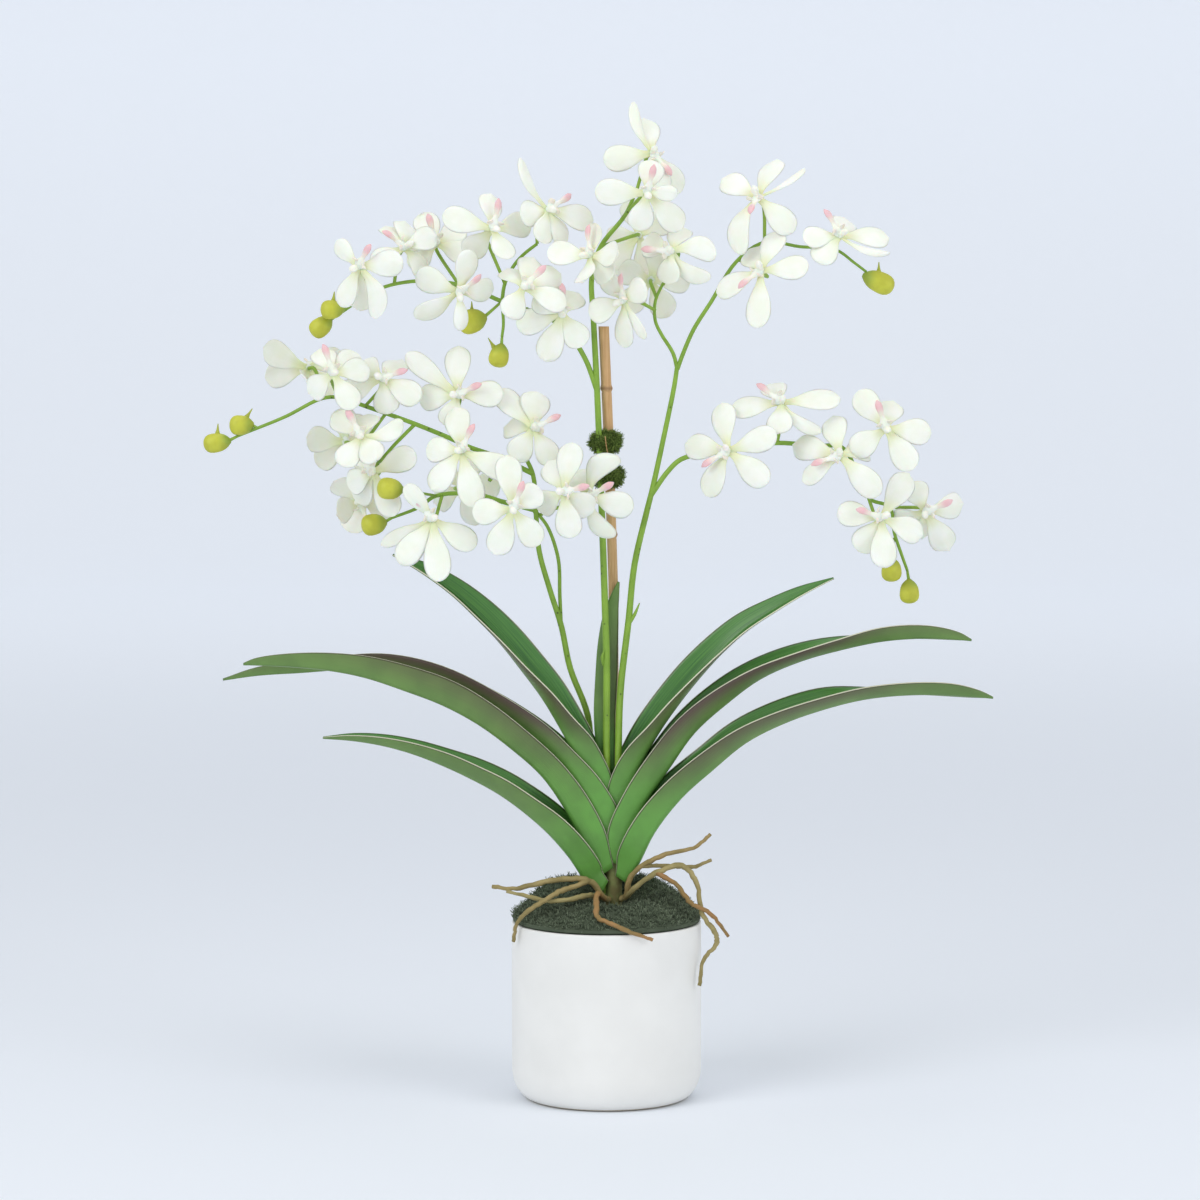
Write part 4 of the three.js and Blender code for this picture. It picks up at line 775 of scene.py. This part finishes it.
stem_green, tree, shader = material("flower_stem_green", Specular_IOR_Level=0.45)
colour = blend(tree, mark(tree, "tone"), srgb("#84ad38"), srgb("#99ba49"))
colour, patches, grain = mottled(tree, colour, srgb("#688c2e"), 60.0, 0.45, 1800.0)
specks = add(tree, "ShaderNodeTexVoronoi", [
    ("Vector", add(tree, "ShaderNodeTexCoord").outputs["Object"]), ("Scale", 210.0)])
dot = calc(tree, "MULTIPLY", stretch(tree, specks.outputs["Distance"], 0.1, 0.2, 1.0, 0.0),
           stretch(tree, patches, 0.55, 0.8))
colour = blend(tree, calc(tree, "MULTIPLY", dot, 0.75), colour, srgb("#2f3317"))
tree.links.new(colour, shader.inputs["Base Color"])
tree.links.new(stretch(tree, patches, 0, 1, 0.38, 0.52), shader.inputs["Roughness"])
relief(tree, shader, grain, 0.25, 0.0003)

bud_skin, tree, shader = material("bud_skin", Roughness=0.45)
colour = blend(tree, stretch(tree, mark(tree, "along"), 0.05, 0.5), srgb("#8fa63a"), srgb("#c9cb3f"))
colour, patches, grain = mottled(tree, colour, srgb("#b0b034"), 110.0, 0.6, 2200.0)
colour = blend(tree, stretch(tree, mark(tree, "tone"), 0.5, 0.2, 0.0, 0.5), colour, srgb("#8a9a3a"))
tree.links.new(colour, shader.inputs["Base Color"])
tree.links.new(stretch(tree, patches, 0, 1, 0.4, 0.55), shader.inputs["Roughness"])
relief(tree, shader, calc(tree, "ADD", patches, grain), 0.3, 0.0005)

CORE_HALF = 0.95
for name, routes in SPRAYS.items():
    shells = [tube(smooth(route, 6), radii, 12, tone=0.3) for route, radii in routes]
    for _, at, azimuth, elevation, roll, _, stem, start in FLOWERS:
        if stem != name:
            continue
        facing = axes(azimuth, elevation, roll)[2]
        end = np.array(at) - facing * (CORE_HALF - 0.4)
        behind = end - facing * min(9, np.linalg.norm(end - start) * 0.45)
        shells.append(tube(smooth([start, behind, end], 6), [PEDICEL_RADIUS, PEDICEL_RADIUS * 1.2], 8,
                           tone=0.9))
    for start, base, tip, radius, _ in BUDS[name]:
        shells.append(tube([start, np.array(base) + (np.array(tip) - base) * 0.1], [0.9, 1.2], 8, tone=0.9))
    spray = piece(f"spray_{name}", joined(shells), stem_green)
    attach(spray, "root")
    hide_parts(f"flower_stem_{name}")
    buds = piece(f"buds_{name}", joined([shell for row in BUDS[name] for shell in bud(*row)]), bud_skin)
    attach(buds, "root")

# Aerial roots: bare knobbly roots, khaki to red-brown, that leave the foot of the stem, lie
# over the moss and hang past the rim.


def root_seat(angle, height, out):
    """A point against the main stem, at an angle round it."""
    reach = STEM_RADIUS + STEM_GAP + 0.2 + out
    return [STEM_X + reach * math.cos(math.radians(angle)), reach * math.sin(math.radians(angle)), height]


LEFT_SEAT = [root_seat(235, 137.5, 0), root_seat(235, 138.5, 4)]
RIGHT_SEAT = [root_seat(320, 138, 0), root_seat(320, 139.5, 4)]
# Each row: the route, its radii, and its tone from khaki, 0, to red-brown, 1
ROOTS = {
    "left": [
        ([*LEFT_SEAT, [-12, -16, 152], [-32, -24, 154], [-45, -26, 152], [-64, -20, 147], [-78, -16, 148]],
         [2.1, 2, 1.3], 0.25),
        ([*LEFT_SEAT, [-13, -24, 143], [-22, -31, 142], [-40, -34, 141], [-53, -28, 143], [-68, -24, 146]],
         [2, 1.8, 1.2], 0.1),
        ([[-12, -16, 152], [-23, -26, 149], [-32, -32, 147], [-40, -38, 143], [-54, -38, 134], [-61.5, -32, 124],
          [-63.5, -28, 112]], [1.9, 1.7, 1.2], 0.3),
        ([*LEFT_SEAT, [-6, -28, 145], [-7, -44, 140], [-6, -56, 133], [5, -62, 129], [18, -66.5, 124],
          [31, -64, 119]], [2, 1.8, 1.2], 0.75),
    ],
    "right": [
        ([*RIGHT_SEAT, [16, -12, 153], [24, -14, 162], [41, -14, 170], [62, -10, 175], [71, -8, 183]],
         [2, 1.8, 1.2], 0.4),
        ([*RIGHT_SEAT, [20, -18, 148], [36, -20, 159], [51, -20, 163], [61, -21, 152], [65, -24, 131],
          [74, -20, 117], [75, -18, 109], [66, -25, 99], [63, -30, 82]], [2, 1.9, 1.8, 1.3], 0.15),
        ([[34, -20, 158], [48, -24, 150], [57, -30, 139], [70, -24, 131], [83, -18, 114]], [1.7, 1.6, 1.2], 0.8),
        ([[24, -14, 162], [38, -8, 161], [50, -4, 160], [61, -2, 160], [72, 0, 164]], [1.6, 1.5, 1.1], 0.2),
    ],
}
root_skin, tree, shader = material("root_skin", Roughness=0.8)
colour = blend(tree, mark(tree, "tone"), srgb("#a9a06c"), srgb("#a5703f"))
colour, patches, grain = mottled(tree, colour, srgb("#7d7346"), 90.0, 0.6, 1500.0)
tree.links.new(colour, shader.inputs["Base Color"])
tree.links.new(stretch(tree, patches, 0, 1, 0.7, 0.9), shader.inputs["Roughness"])
relief(tree, shader, calc(tree, "ADD", patches, grain), 0.5, 0.0006)
for name, strands in ROOTS.items():
    shells = []
    for route, radii, tone in strands:
        path = smooth(route, 7)
        gone = np.linspace(0, 1, len(path))
        plain = np.interp(gone, np.linspace(0, 1, len(radii)), radii)
        knots = 1 + 0.13 * np.sin(gone * 41 + tone * 9) * np.sin(gone * 23 + 2)
        knots = knots + rng.uniform(-0.05, 0.05, len(path))
        path[1:-1] += rng.normal(0, 0.22, (len(path) - 2, 3))
        shells.append(tube(path, plain * knots, 10, tone=tone))
    roots = piece(f"roots_{name}", joined(shells), root_skin)
    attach(roots, "root")
    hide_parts(f"root_{name}")

# Stake: a length of bamboo cane pushed into the pot behind the fan, with two swollen nodes
# and a split down its left side, whose groove is darkened with painted shade.
STAKE_RADIUS = 3.6
STAKE_FOOT = 60
STAKE_TOP = 529
STAKE_PATH = [[7, 22.5, STAKE_FOOT], [6, 19, 190], [4.5, 11, 354], [1.5, 6.6, 450], [-2, 3.2, STAKE_TOP]]
STAKE_NODES = [387, 487]
STAKE_SPLIT = 200


def stake_at(z):
    """The middle of the stake at a height."""
    heights = [p[2] for p in STAKE_PATH]
    return [np.interp(z, heights, [p[axis] for p in STAKE_PATH]) for axis in (0, 1)]


levels = sorted({*np.linspace(STAKE_FOOT, STAKE_TOP, 60),
                 *[n + d for n in STAKE_NODES for d in np.linspace(-5, 5, 15)]})
rings, across, along = [], [], []
for z in levels:
    x, y = stake_at(z)
    radius = np.interp(z, [STAKE_FOOT, 354, STAKE_TOP], [2.9, 3.3, STAKE_RADIUS])
    swell = sum(0.75 * math.exp(-((z - n) / 1.7) ** 2) - 0.3 * math.exp(-((z - n + 2.4) / 0.6) ** 2)
                for n in STAKE_NODES)
    ring = []
    for i in range(32):
        angle = 2 * math.pi * i / 32
        off = abs((math.degrees(angle) - STAKE_SPLIT + 180) % 360 - 180)
        groove = 0.7 * math.exp(-(off / 9) ** 2)
        reach = radius + swell - groove
        ring.append((x + reach * math.cos(angle), y + reach * math.sin(angle), z))
        across.append(max(0, 1 - off / 16))
        along.append(max(math.exp(-((z - n) / 1.4) ** 2) for n in STAKE_NODES))
    rings.append(ring)
points, faces, _ = skin(rings)
cane, tree, shader = material("bamboo_cane", Roughness=0.5)
place = add(tree, "ShaderNodeMapping", [
    ("Vector", add(tree, "ShaderNodeTexCoord").outputs["Object"]), ("Scale", (900, 900, 14))])
fibres = add(tree, "ShaderNodeTexNoise", [("Vector", place.outputs[0]), ("Scale", 1.0), ("Detail", 3.0)])
colour = blend(tree, stretch(tree, fibres.outputs[0], 0.3, 0.7), srgb("#dcb684"), srgb("#c99f6a"))
colour, patches, grain = mottled(tree, colour, srgb("#b98a5c"), 40.0, 0.35, 1500.0)
colour = blend(tree, calc(tree, "MULTIPLY", mark(tree, "along"), 0.6), colour, srgb("#6b4a30"))
# Painted shade: the split's groove is darkened almost to black, as the shade inside the crack.
colour = blend(tree, stretch(tree, mark(tree, "across"), 0.3, 0.9, 0.0, 0.92), colour, srgb("#2b1d14"))
tree.links.new(colour, shader.inputs["Base Color"])
tree.links.new(stretch(tree, patches, 0, 1, 0.42, 0.6), shader.inputs["Roughness"])
relief(tree, shader, fibres.outputs[0], 0.3, 0.0004)
stake = piece("cane", (points, faces, {"across": across, "along": along}), cane)
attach(stake, "root")
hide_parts("bamboo_stake")

# Moss tufts: two small balls of green moss bound round the stake and the centre stem.
tuft_green = moss_material("tuft_moss", "#3a4a20", "#66803a", "#93aa58")
for name, (x, y, z), (a, b, c), seed in [
    ("upper", (-0.5, 3, 450.5), (12.5, 10, 8.6), 1), ("lower", (1, 3.6, 427), (12.5, 10, 8.8), 4),
]:
    grown = np.random.default_rng(seed)
    normals = grown.normal(0, 1, (1500, 3))
    normals /= np.linalg.norm(normals, axis=1)[:, None]
    shape = np.array([a, b, c])
    lumps = 1 + 0.12 * np.sin(5 * normals[:, 0] + seed) * np.cos(4 * normals[:, 2] + 2 * normals[:, 1] + seed)
    seats = np.array([x, y, z]) + normals * shape * (lumps * 0.8)[:, None]
    heart = [(math.sqrt(max(1 - u * u, 1e-4)), u) for u in np.linspace(-1, 1, 13)]
    points, faces, _ = lathe(heart, 20)
    points = [(x + 0.82 * a * p[0], y + 0.82 * b * p[1], z + 0.82 * c * p[2]) for p in points]
    ball = marked((points, faces, {}), along=0.2, tone=0.4)
    tuft = piece(f"tuft_{name}", joined([ball, sprigs(seats, normals, 3.4, 0.32, grown)]), tuft_green)
    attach(tuft, "root")
    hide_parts(f"moss_tuft_{name}")

# Raffia tie: a few turns of dry raffia pulled tight between the tufts, with one end left
# standing up in front.
raffia, tree, shader = material("dry_raffia", Roughness=0.75)
place = add(tree, "ShaderNodeMapping", [
    ("Vector", add(tree, "ShaderNodeTexCoord").outputs["Object"]), ("Scale", (160, 160, 2400))])
fibres = add(tree, "ShaderNodeTexNoise", [("Vector", place.outputs[0]), ("Scale", 1.0), ("Detail", 3.0)])
colour = blend(tree, stretch(tree, fibres.outputs[0], 0.3, 0.7), srgb("#d2ad74"), srgb("#a67c48"))
colour, patches, grain = mottled(tree, colour, srgb("#8e6a3e"), 120.0, 0.4, 2000.0)
tree.links.new(colour, shader.inputs["Base Color"])
tree.links.new(stretch(tree, patches, 0, 1, 0.65, 0.85), shader.inputs["Roughness"])
relief(tree, shader, fibres.outputs[0], 0.5, 0.0004)
shells = []
for height, reach, tilt in [(437.6, 9.2, 0.4), (438.8, 9.4, -0.5), (440.0, 9.1, 0.3)]:
    turn = [(-1.4 + reach * math.cos(t), 3 + reach * math.sin(t), height + tilt * math.cos(t + 0.6))
            for t in np.linspace(0, 2 * math.pi, 41)]
    shells.append(tube(turn, [0.35, 0.35], 6, deep=[0.75, 0.75]))
shells.append(tube(smooth([[2, -5.6, 438.8], [1.5, -8.8, 441], [0, -10, 447], [-1, -10.2, 455]], 5),
                   [1.1, 0.9, 0.7], 8, deep=[0.4, 0.35, 0.3]))
tie = piece("raffia_band", joined(shells), raffia)
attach(tie, "root")
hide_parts("raffia_tie")

# Flowers: thick waxy white petals on a narrow claw, five to a flower, tinted yellow-green
# towards the heart, round a cream column and a lip that ends in a rounded blush-pink club.
# In PETALS a petal is given by where its tip stands from the middle as seen from the front,
# how far it comes toward the viewer (left out where it lies in the plane of the flower), how
# far it bows to its left, and its width as a share of the usual one.
PETALS = {
    "A1": [[-29, 15], [-29, -6, 8], [2, -10, 22], [24, 8], [20, -16, 4]],
    "A2": [[16, 13, -20], [24, 3, -12], [15, -23], [-17, -14, -8], [-10, 16, -20]],
    "A3": [[-29, -12], [26, -14], [4, -24, 2], [12, 12, -24], [-16, 10, -20]],
    "B1": [[-19, 15, -16], [28, 10, -6, -5, 0.7], [-13, -19, 10], [11, -15, 16], [4, 14, -26]],
    "B2": [[-26, 4, 18], [-20, -15, 2], [14, 16, -10], [18, -16, -8], [-2, 24, 2]],
    "B3": [[29, 13], [15, -29], [-18, -10, -10], [-12, 18, -12], [-12, -22, -18]],
    "B4": [[-18, 14, 8], [-16, -9, 14], [-8, -22], [21, -10, 4], [16, 14]],
    "C1": [[0, 33], [-35, 28, -2, 0, 0.8], [-27, -3, -8], [31, 1], [-6, -22, 0]],
    "C2": [[-4, 29], [-24, 1, -8], [36, -15], [-20, -26], [10, -37]],
    "C3": [[2, 25, -8, 0, 1.2], [-24, 26], [-20, 0, -14], [14, -24], [-13, -21, 8]],
    "C4": [[-4, 36], [-27, -2], [19, 13, -6], [-12, -30], [18, -24]],
    "C5": [[6, 33], [-18, -12, -10], [5, -31], [20, -14, -8], [-10, 20, -14]],
    "C6": [[20, 27, 0, 7, 0.9], [30, -8, 6], [17, -28, 0, -5, 0.7], [-18, -14, -4], [-10, 16, -22]],
    "C7": [[-18, 24, 4, 0, 0.7], [-36, -18, -14, 0, 0.6], [-22, -29], [5, -40, 20], [29, -18]],
    "C8": [[26, 2], [10, -26], [-20, -12], [-16, 18], [10, 24]],
    "D1": [[-4, 32], [-29, 3], [32, 12], [-15, -31], [26, -21]],
    "D2": [[40, 3], [-34, -5], [27, -20, 4, -4, 0.55], [-2, -20, 14], [-6, 12, -26]],
    "D3": [[-31, 6], [-4, 26], [-25, -18, -4, 0, 0.8], [26, -26], [20, 2, -18]],
    "D4": [[-19, 25], [31, -3], [-23, -16], [18, -27, 8], [6, 18, -22]],
    "D5": [[-30, 4], [20, 29], [28, -12], [-16, -22, 2], [1, -32, 16]],
    "D6": [[-9, 20], [27, 5], [18, -28], [-18, -8, -16], [0, -20, -20]],
    "E1": [[-16, 17, -12, 0, 0.7], [-12, -27, 0, 0, 0.8], [12, -35, 0, 6, 0.8], [30, 3], [0, -30, -12]],
    "E2": [[-13, 15, -20], [0, 18, -22], [22, 9, 2], [14, -18, -4], [-22, -12, 4]],
    "E3": [[25, -7], [18, 12, -12], [-18, -16, -2], [-10, 20, -20], [-23, 4, 2]],
    "E4": [[-33, 9], [-2, 24, -12], [26, 4, -28], [11, -20, 12], [-18, -18, -8]],
    "E5": [[-18, 35, 4, 6, 0.6], [-18, -4, 8], [31, -8, -14], [-4, -22, 10], [12, -24, -6]],
    "E6": [[-29, -18], [-28, 12, 4], [2, -26, 4, 0, 0.6], [24, 2, -6], [8, 28, 6]],
    "E7": [[25, 9, -22], [29, -12, -4], [-10, -20], [-12, 12, -20], [6, 20, -22]],
    "E8": [[-29, 3, -6], [19, 2, 20], [3, 22, -4], [-6, -18, 16], [14, -16, 8]],
    "F1": [[-13, 35, -6, 4, 0.5], [-5, 24, -16], [-33, -5], [6, -26, 12], [20, -26, -10]],
    "F2": [[-35, 1], [20, 0, 12, 0, 0.6], [-6, -25], [24, -24], [4, 22, -4]],
    "F3": [[-22, -4, -8], [8, -28], [-24, -26, 6], [22, 12], [-6, 24]],
    "F4": [[30, -2, 4, 4, 0.9], [26, -19, 0, -5, 0.7], [-3, -22], [8, 16, -14], [-20, 6]],
    "G1": [[-15, 18, -6], [-24, -10, -4], [0, -32], [14, -26, 8, 0, 0.5], [14, 10, 16]],
    "G2": [[12, -25], [-18, -20], [8, 25], [-22, 8], [27, 0]],
    "H1": [[-31, -8], [-12, -32], [14, -22], [-19, 12, 4], [10, 14, -20]],
    "J1": [[14, 26, -16], [-24, 13, -14], [32, 20, -8, -5, 0.35], [-13, -38, 8, -6], [24, -23, 6]],
    "J2": [[31, 3], [-3, -38], [-30, -15], [12, 27], [-8, 14, -22]],
    "J3": [[-25, -1], [34, -1, -8], [-16, -17, 14], [34, -11, 4, -6, 0.4], [6, 12, -26]],
}
PLAIN_PETAL = [None, 0, 1]
PETAL_HALF_WIDTH = 9.3
PETAL_THICKNESS = 1.2
PETAL_SHARES = [0.02, 0.1, 0.18, 0.26, 0.36, 0.47, 0.58, 0.68, 0.78, 0.86, 0.92, 0.965, 0.99, 1.0]
PETAL_WIDTHS = [0.26, 0.26, 0.31, 0.42, 0.62, 0.82, 0.95, 1.0, 0.98, 0.87, 0.7, 0.47, 0.25, 0.06]
COLUMNS = np.array([-1, -0.86, -0.6, -0.3, 0, 0.3, 0.6, 0.86, 1])


def petal(x, z, depth, bend, width, facing, form, ways):
    """One petal about the middle of its flower, with a small twist and ripple of its own."""
    height, arch, margin = form
    twist, ripple, phase = ways
    forward = -facing[1]
    if depth is None:
        depth = (height - x * facing[0] - z * facing[2]) / forward
    tip = np.array([x, -depth, z], float)
    along = tip / np.linalg.norm(tip)
    side = np.cross(facing, along)
    side /= np.linalg.norm(side)
    normal = np.cross(along, side)
    rings, gone, across = [], [], []
    for s, share in zip(PETAL_SHARES, PETAL_WIDTHS):
        half = PETAL_HALF_WIDTH * share * (width if s > 0.2 else min(width * 1.3, 1))
        bow = math.sin(math.pi * s)
        middle = tip * s + side * bend * math.copysign(1, forward) * bow + normal * arch * bow
        roll = math.radians(twist) * s
        wave = ripple * s * np.sin(COLUMNS * 3.2 + s * 5 + phase)
        fall = margin * s * COLUMNS ** 2 + wave + 0.5 * (1 - s) * np.exp(-(COLUMNS / 0.3) ** 2)
        flat = half * COLUMNS * math.cos(roll) - fall * math.sin(roll)
        high = half * COLUMNS * math.sin(roll) + fall * math.cos(roll)
        thick = PETAL_THICKNESS / 2 * np.sqrt(np.maximum(1 - COLUMNS ** 4, 0)) * (1 - 0.4 * s)
        front = [middle + side * f + normal * (h + t) for f, h, t in zip(flat, high, thick)]
        back = [middle + side * f + normal * (h - t) for f, h, t in zip(flat, high, thick)]
        rings.append([*front, *back[-2:0:-1]])
        gone.extend([s] * 16)
        across.extend([*COLUMNS, *COLUMNS[-2:0:-1]])
    points, faces, _ = skin(rings)
    return points, faces, {"along": gone, "across": across, "tone": [0] * len(points)}


def heart_of_flower():
    """Column with its cap, throat, two side lobes and the lip with its club-shaped end."""
    column = tube(smooth([[0.5, 0, -0.9], [-0.6, 0, 3], [-1.8, 0, 6.5], [-3.6, 0, 9.5]], 4),
                  [2.6, 2.3, 2.2, 2.7, 2.6, 0.5], 12, deep=[2.6, 2.2, 2.0, 2.4, 2.0, 0.4], tone=0.0)
    lip = tube(smooth([[0, 0, 0.6], [3.5, 0, 2.6], [7.5, 0, 4.2], [11.5, 0, 6.6], [15.5, 0, 8],
                       [19.4, 0, 8.2]], 4),
               [2.8, 3.9, 3.2, 1.7, 1.6, 2.3, 2.5, 2.2, 0.5], 14,
               deep=[2.4, 2.3, 1.6, 1.2, 1.1, 1.4, 1.5, 1.3, 0.3])
    shells = []
    for (points, faces, marks), blush in [(column, False), (lip, True)]:
        gone = np.array(marks["along"])
        _, _, plain = marked((points, faces, {}), along=0.5, across=0)
        tone = np.clip((gone - 0.42) / 0.35, 0, 1) if blush else np.zeros(len(points))
        shells.append((points, faces, {**plain, "tone": tone}))
    for sign in (-1, 1):
        lobe = tube(smooth([[2.5, sign * 2, 1.8], [3.5, sign * 4.2, 4.2], [3.2, sign * 4.4, 7.2]], 4),
                    [1.6, 2.4, 2.2, 0.5], 10, deep=[0.9, 0.9, 0.7, 0.3])
        shells.append(marked(lobe, along=0.5, across=0, tone=0.22))
    return joined(shells)


petal_wax, tree, shader = material("waxy_petal", Roughness=0.5, Subsurface_Weight=0.18,
                                   Subsurface_Scale=0.006, Specular_IOR_Level=0.35)
along, across, tone = mark(tree, "along"), mark(tree, "across"), mark(tree, "tone")
place = add(tree, "ShaderNodeCombineXYZ", [(0, calc(tree, "MULTIPLY", across, 14.0)), (1, along)])
veins = add(tree, "ShaderNodeTexNoise", [("Vector", place.outputs[0]), ("Scale", 1.6), ("Detail", 3.0)])
colour, patches, grain = mottled(tree, srgb("#fbfaf1"), srgb("#f3f4e4"), 70.0, 0.8, 1500.0)
tint = calc(tree, "MULTIPLY", stretch(tree, along, 0.05, 0.48, 1.0, 0.0),
            stretch(tree, veins.outputs[0], 0.2, 0.6, 0.5, 1.0))
colour = blend(tree, calc(tree, "MULTIPLY", tint, 0.75), colour, srgb("#dde39a"))
colour = blend(tree, stretch(tree, veins.outputs[0], 0.45, 0.75, 0.0, 0.25), colour, srgb("#e9ecd2"))
colour = blend(tree, stretch(tree, tone, 0.0, 0.3), colour, srgb("#f3e9dc"))
colour = blend(tree, stretch(tree, tone, 0.3, 1.0, 0.0, 0.9), colour, srgb("#eebfc4"))
tree.links.new(colour, shader.inputs["Base Color"])
tree.links.new(stretch(tree, patches, 0, 1, 0.45, 0.6), shader.inputs["Roughness"])
relief(tree, shader, calc(tree, "ADD", veins.outputs[0], calc(tree, "MULTIPLY", grain, 0.3)), 0.25, 0.0004)
heart = heart_of_flower()
grown = np.random.default_rng(39)
for name, at, azimuth, elevation, roll, form, _, _ in FLOWERS:
    frame_of_flower = axes(azimuth, elevation, roll)
    points, faces, marks = heart
    shells = [(np.array(points) @ frame_of_flower, faces, marks)]
    for x, z, *more in PETALS[name]:
        depth, bend, width = [*more, *PLAIN_PETAL[len(more):]]
        ways = (grown.uniform(-9, 9), grown.uniform(0.2, 0.6), grown.uniform(0, 6))
        shells.append(petal(x, z, depth, bend, width, frame_of_flower[2], form, ways))
    points, faces, marks = joined(shells)
    flower = piece(f"flower_{name}", (np.array(points) + np.array(at), faces, marks), petal_wax)
    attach(flower, "root")
    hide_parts(f"bloom_{name}")

# Outward faces: every shell made above is closed, so its faces are turned out once, here.
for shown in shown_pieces():
    if "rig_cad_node" not in shown:
        edit = bmesh.new()
        edit.from_mesh(shown.data)
        bmesh.ops.recalc_face_normals(edit, faces=edit.faces)
        edit.to_mesh(shown.data)
        edit.free()
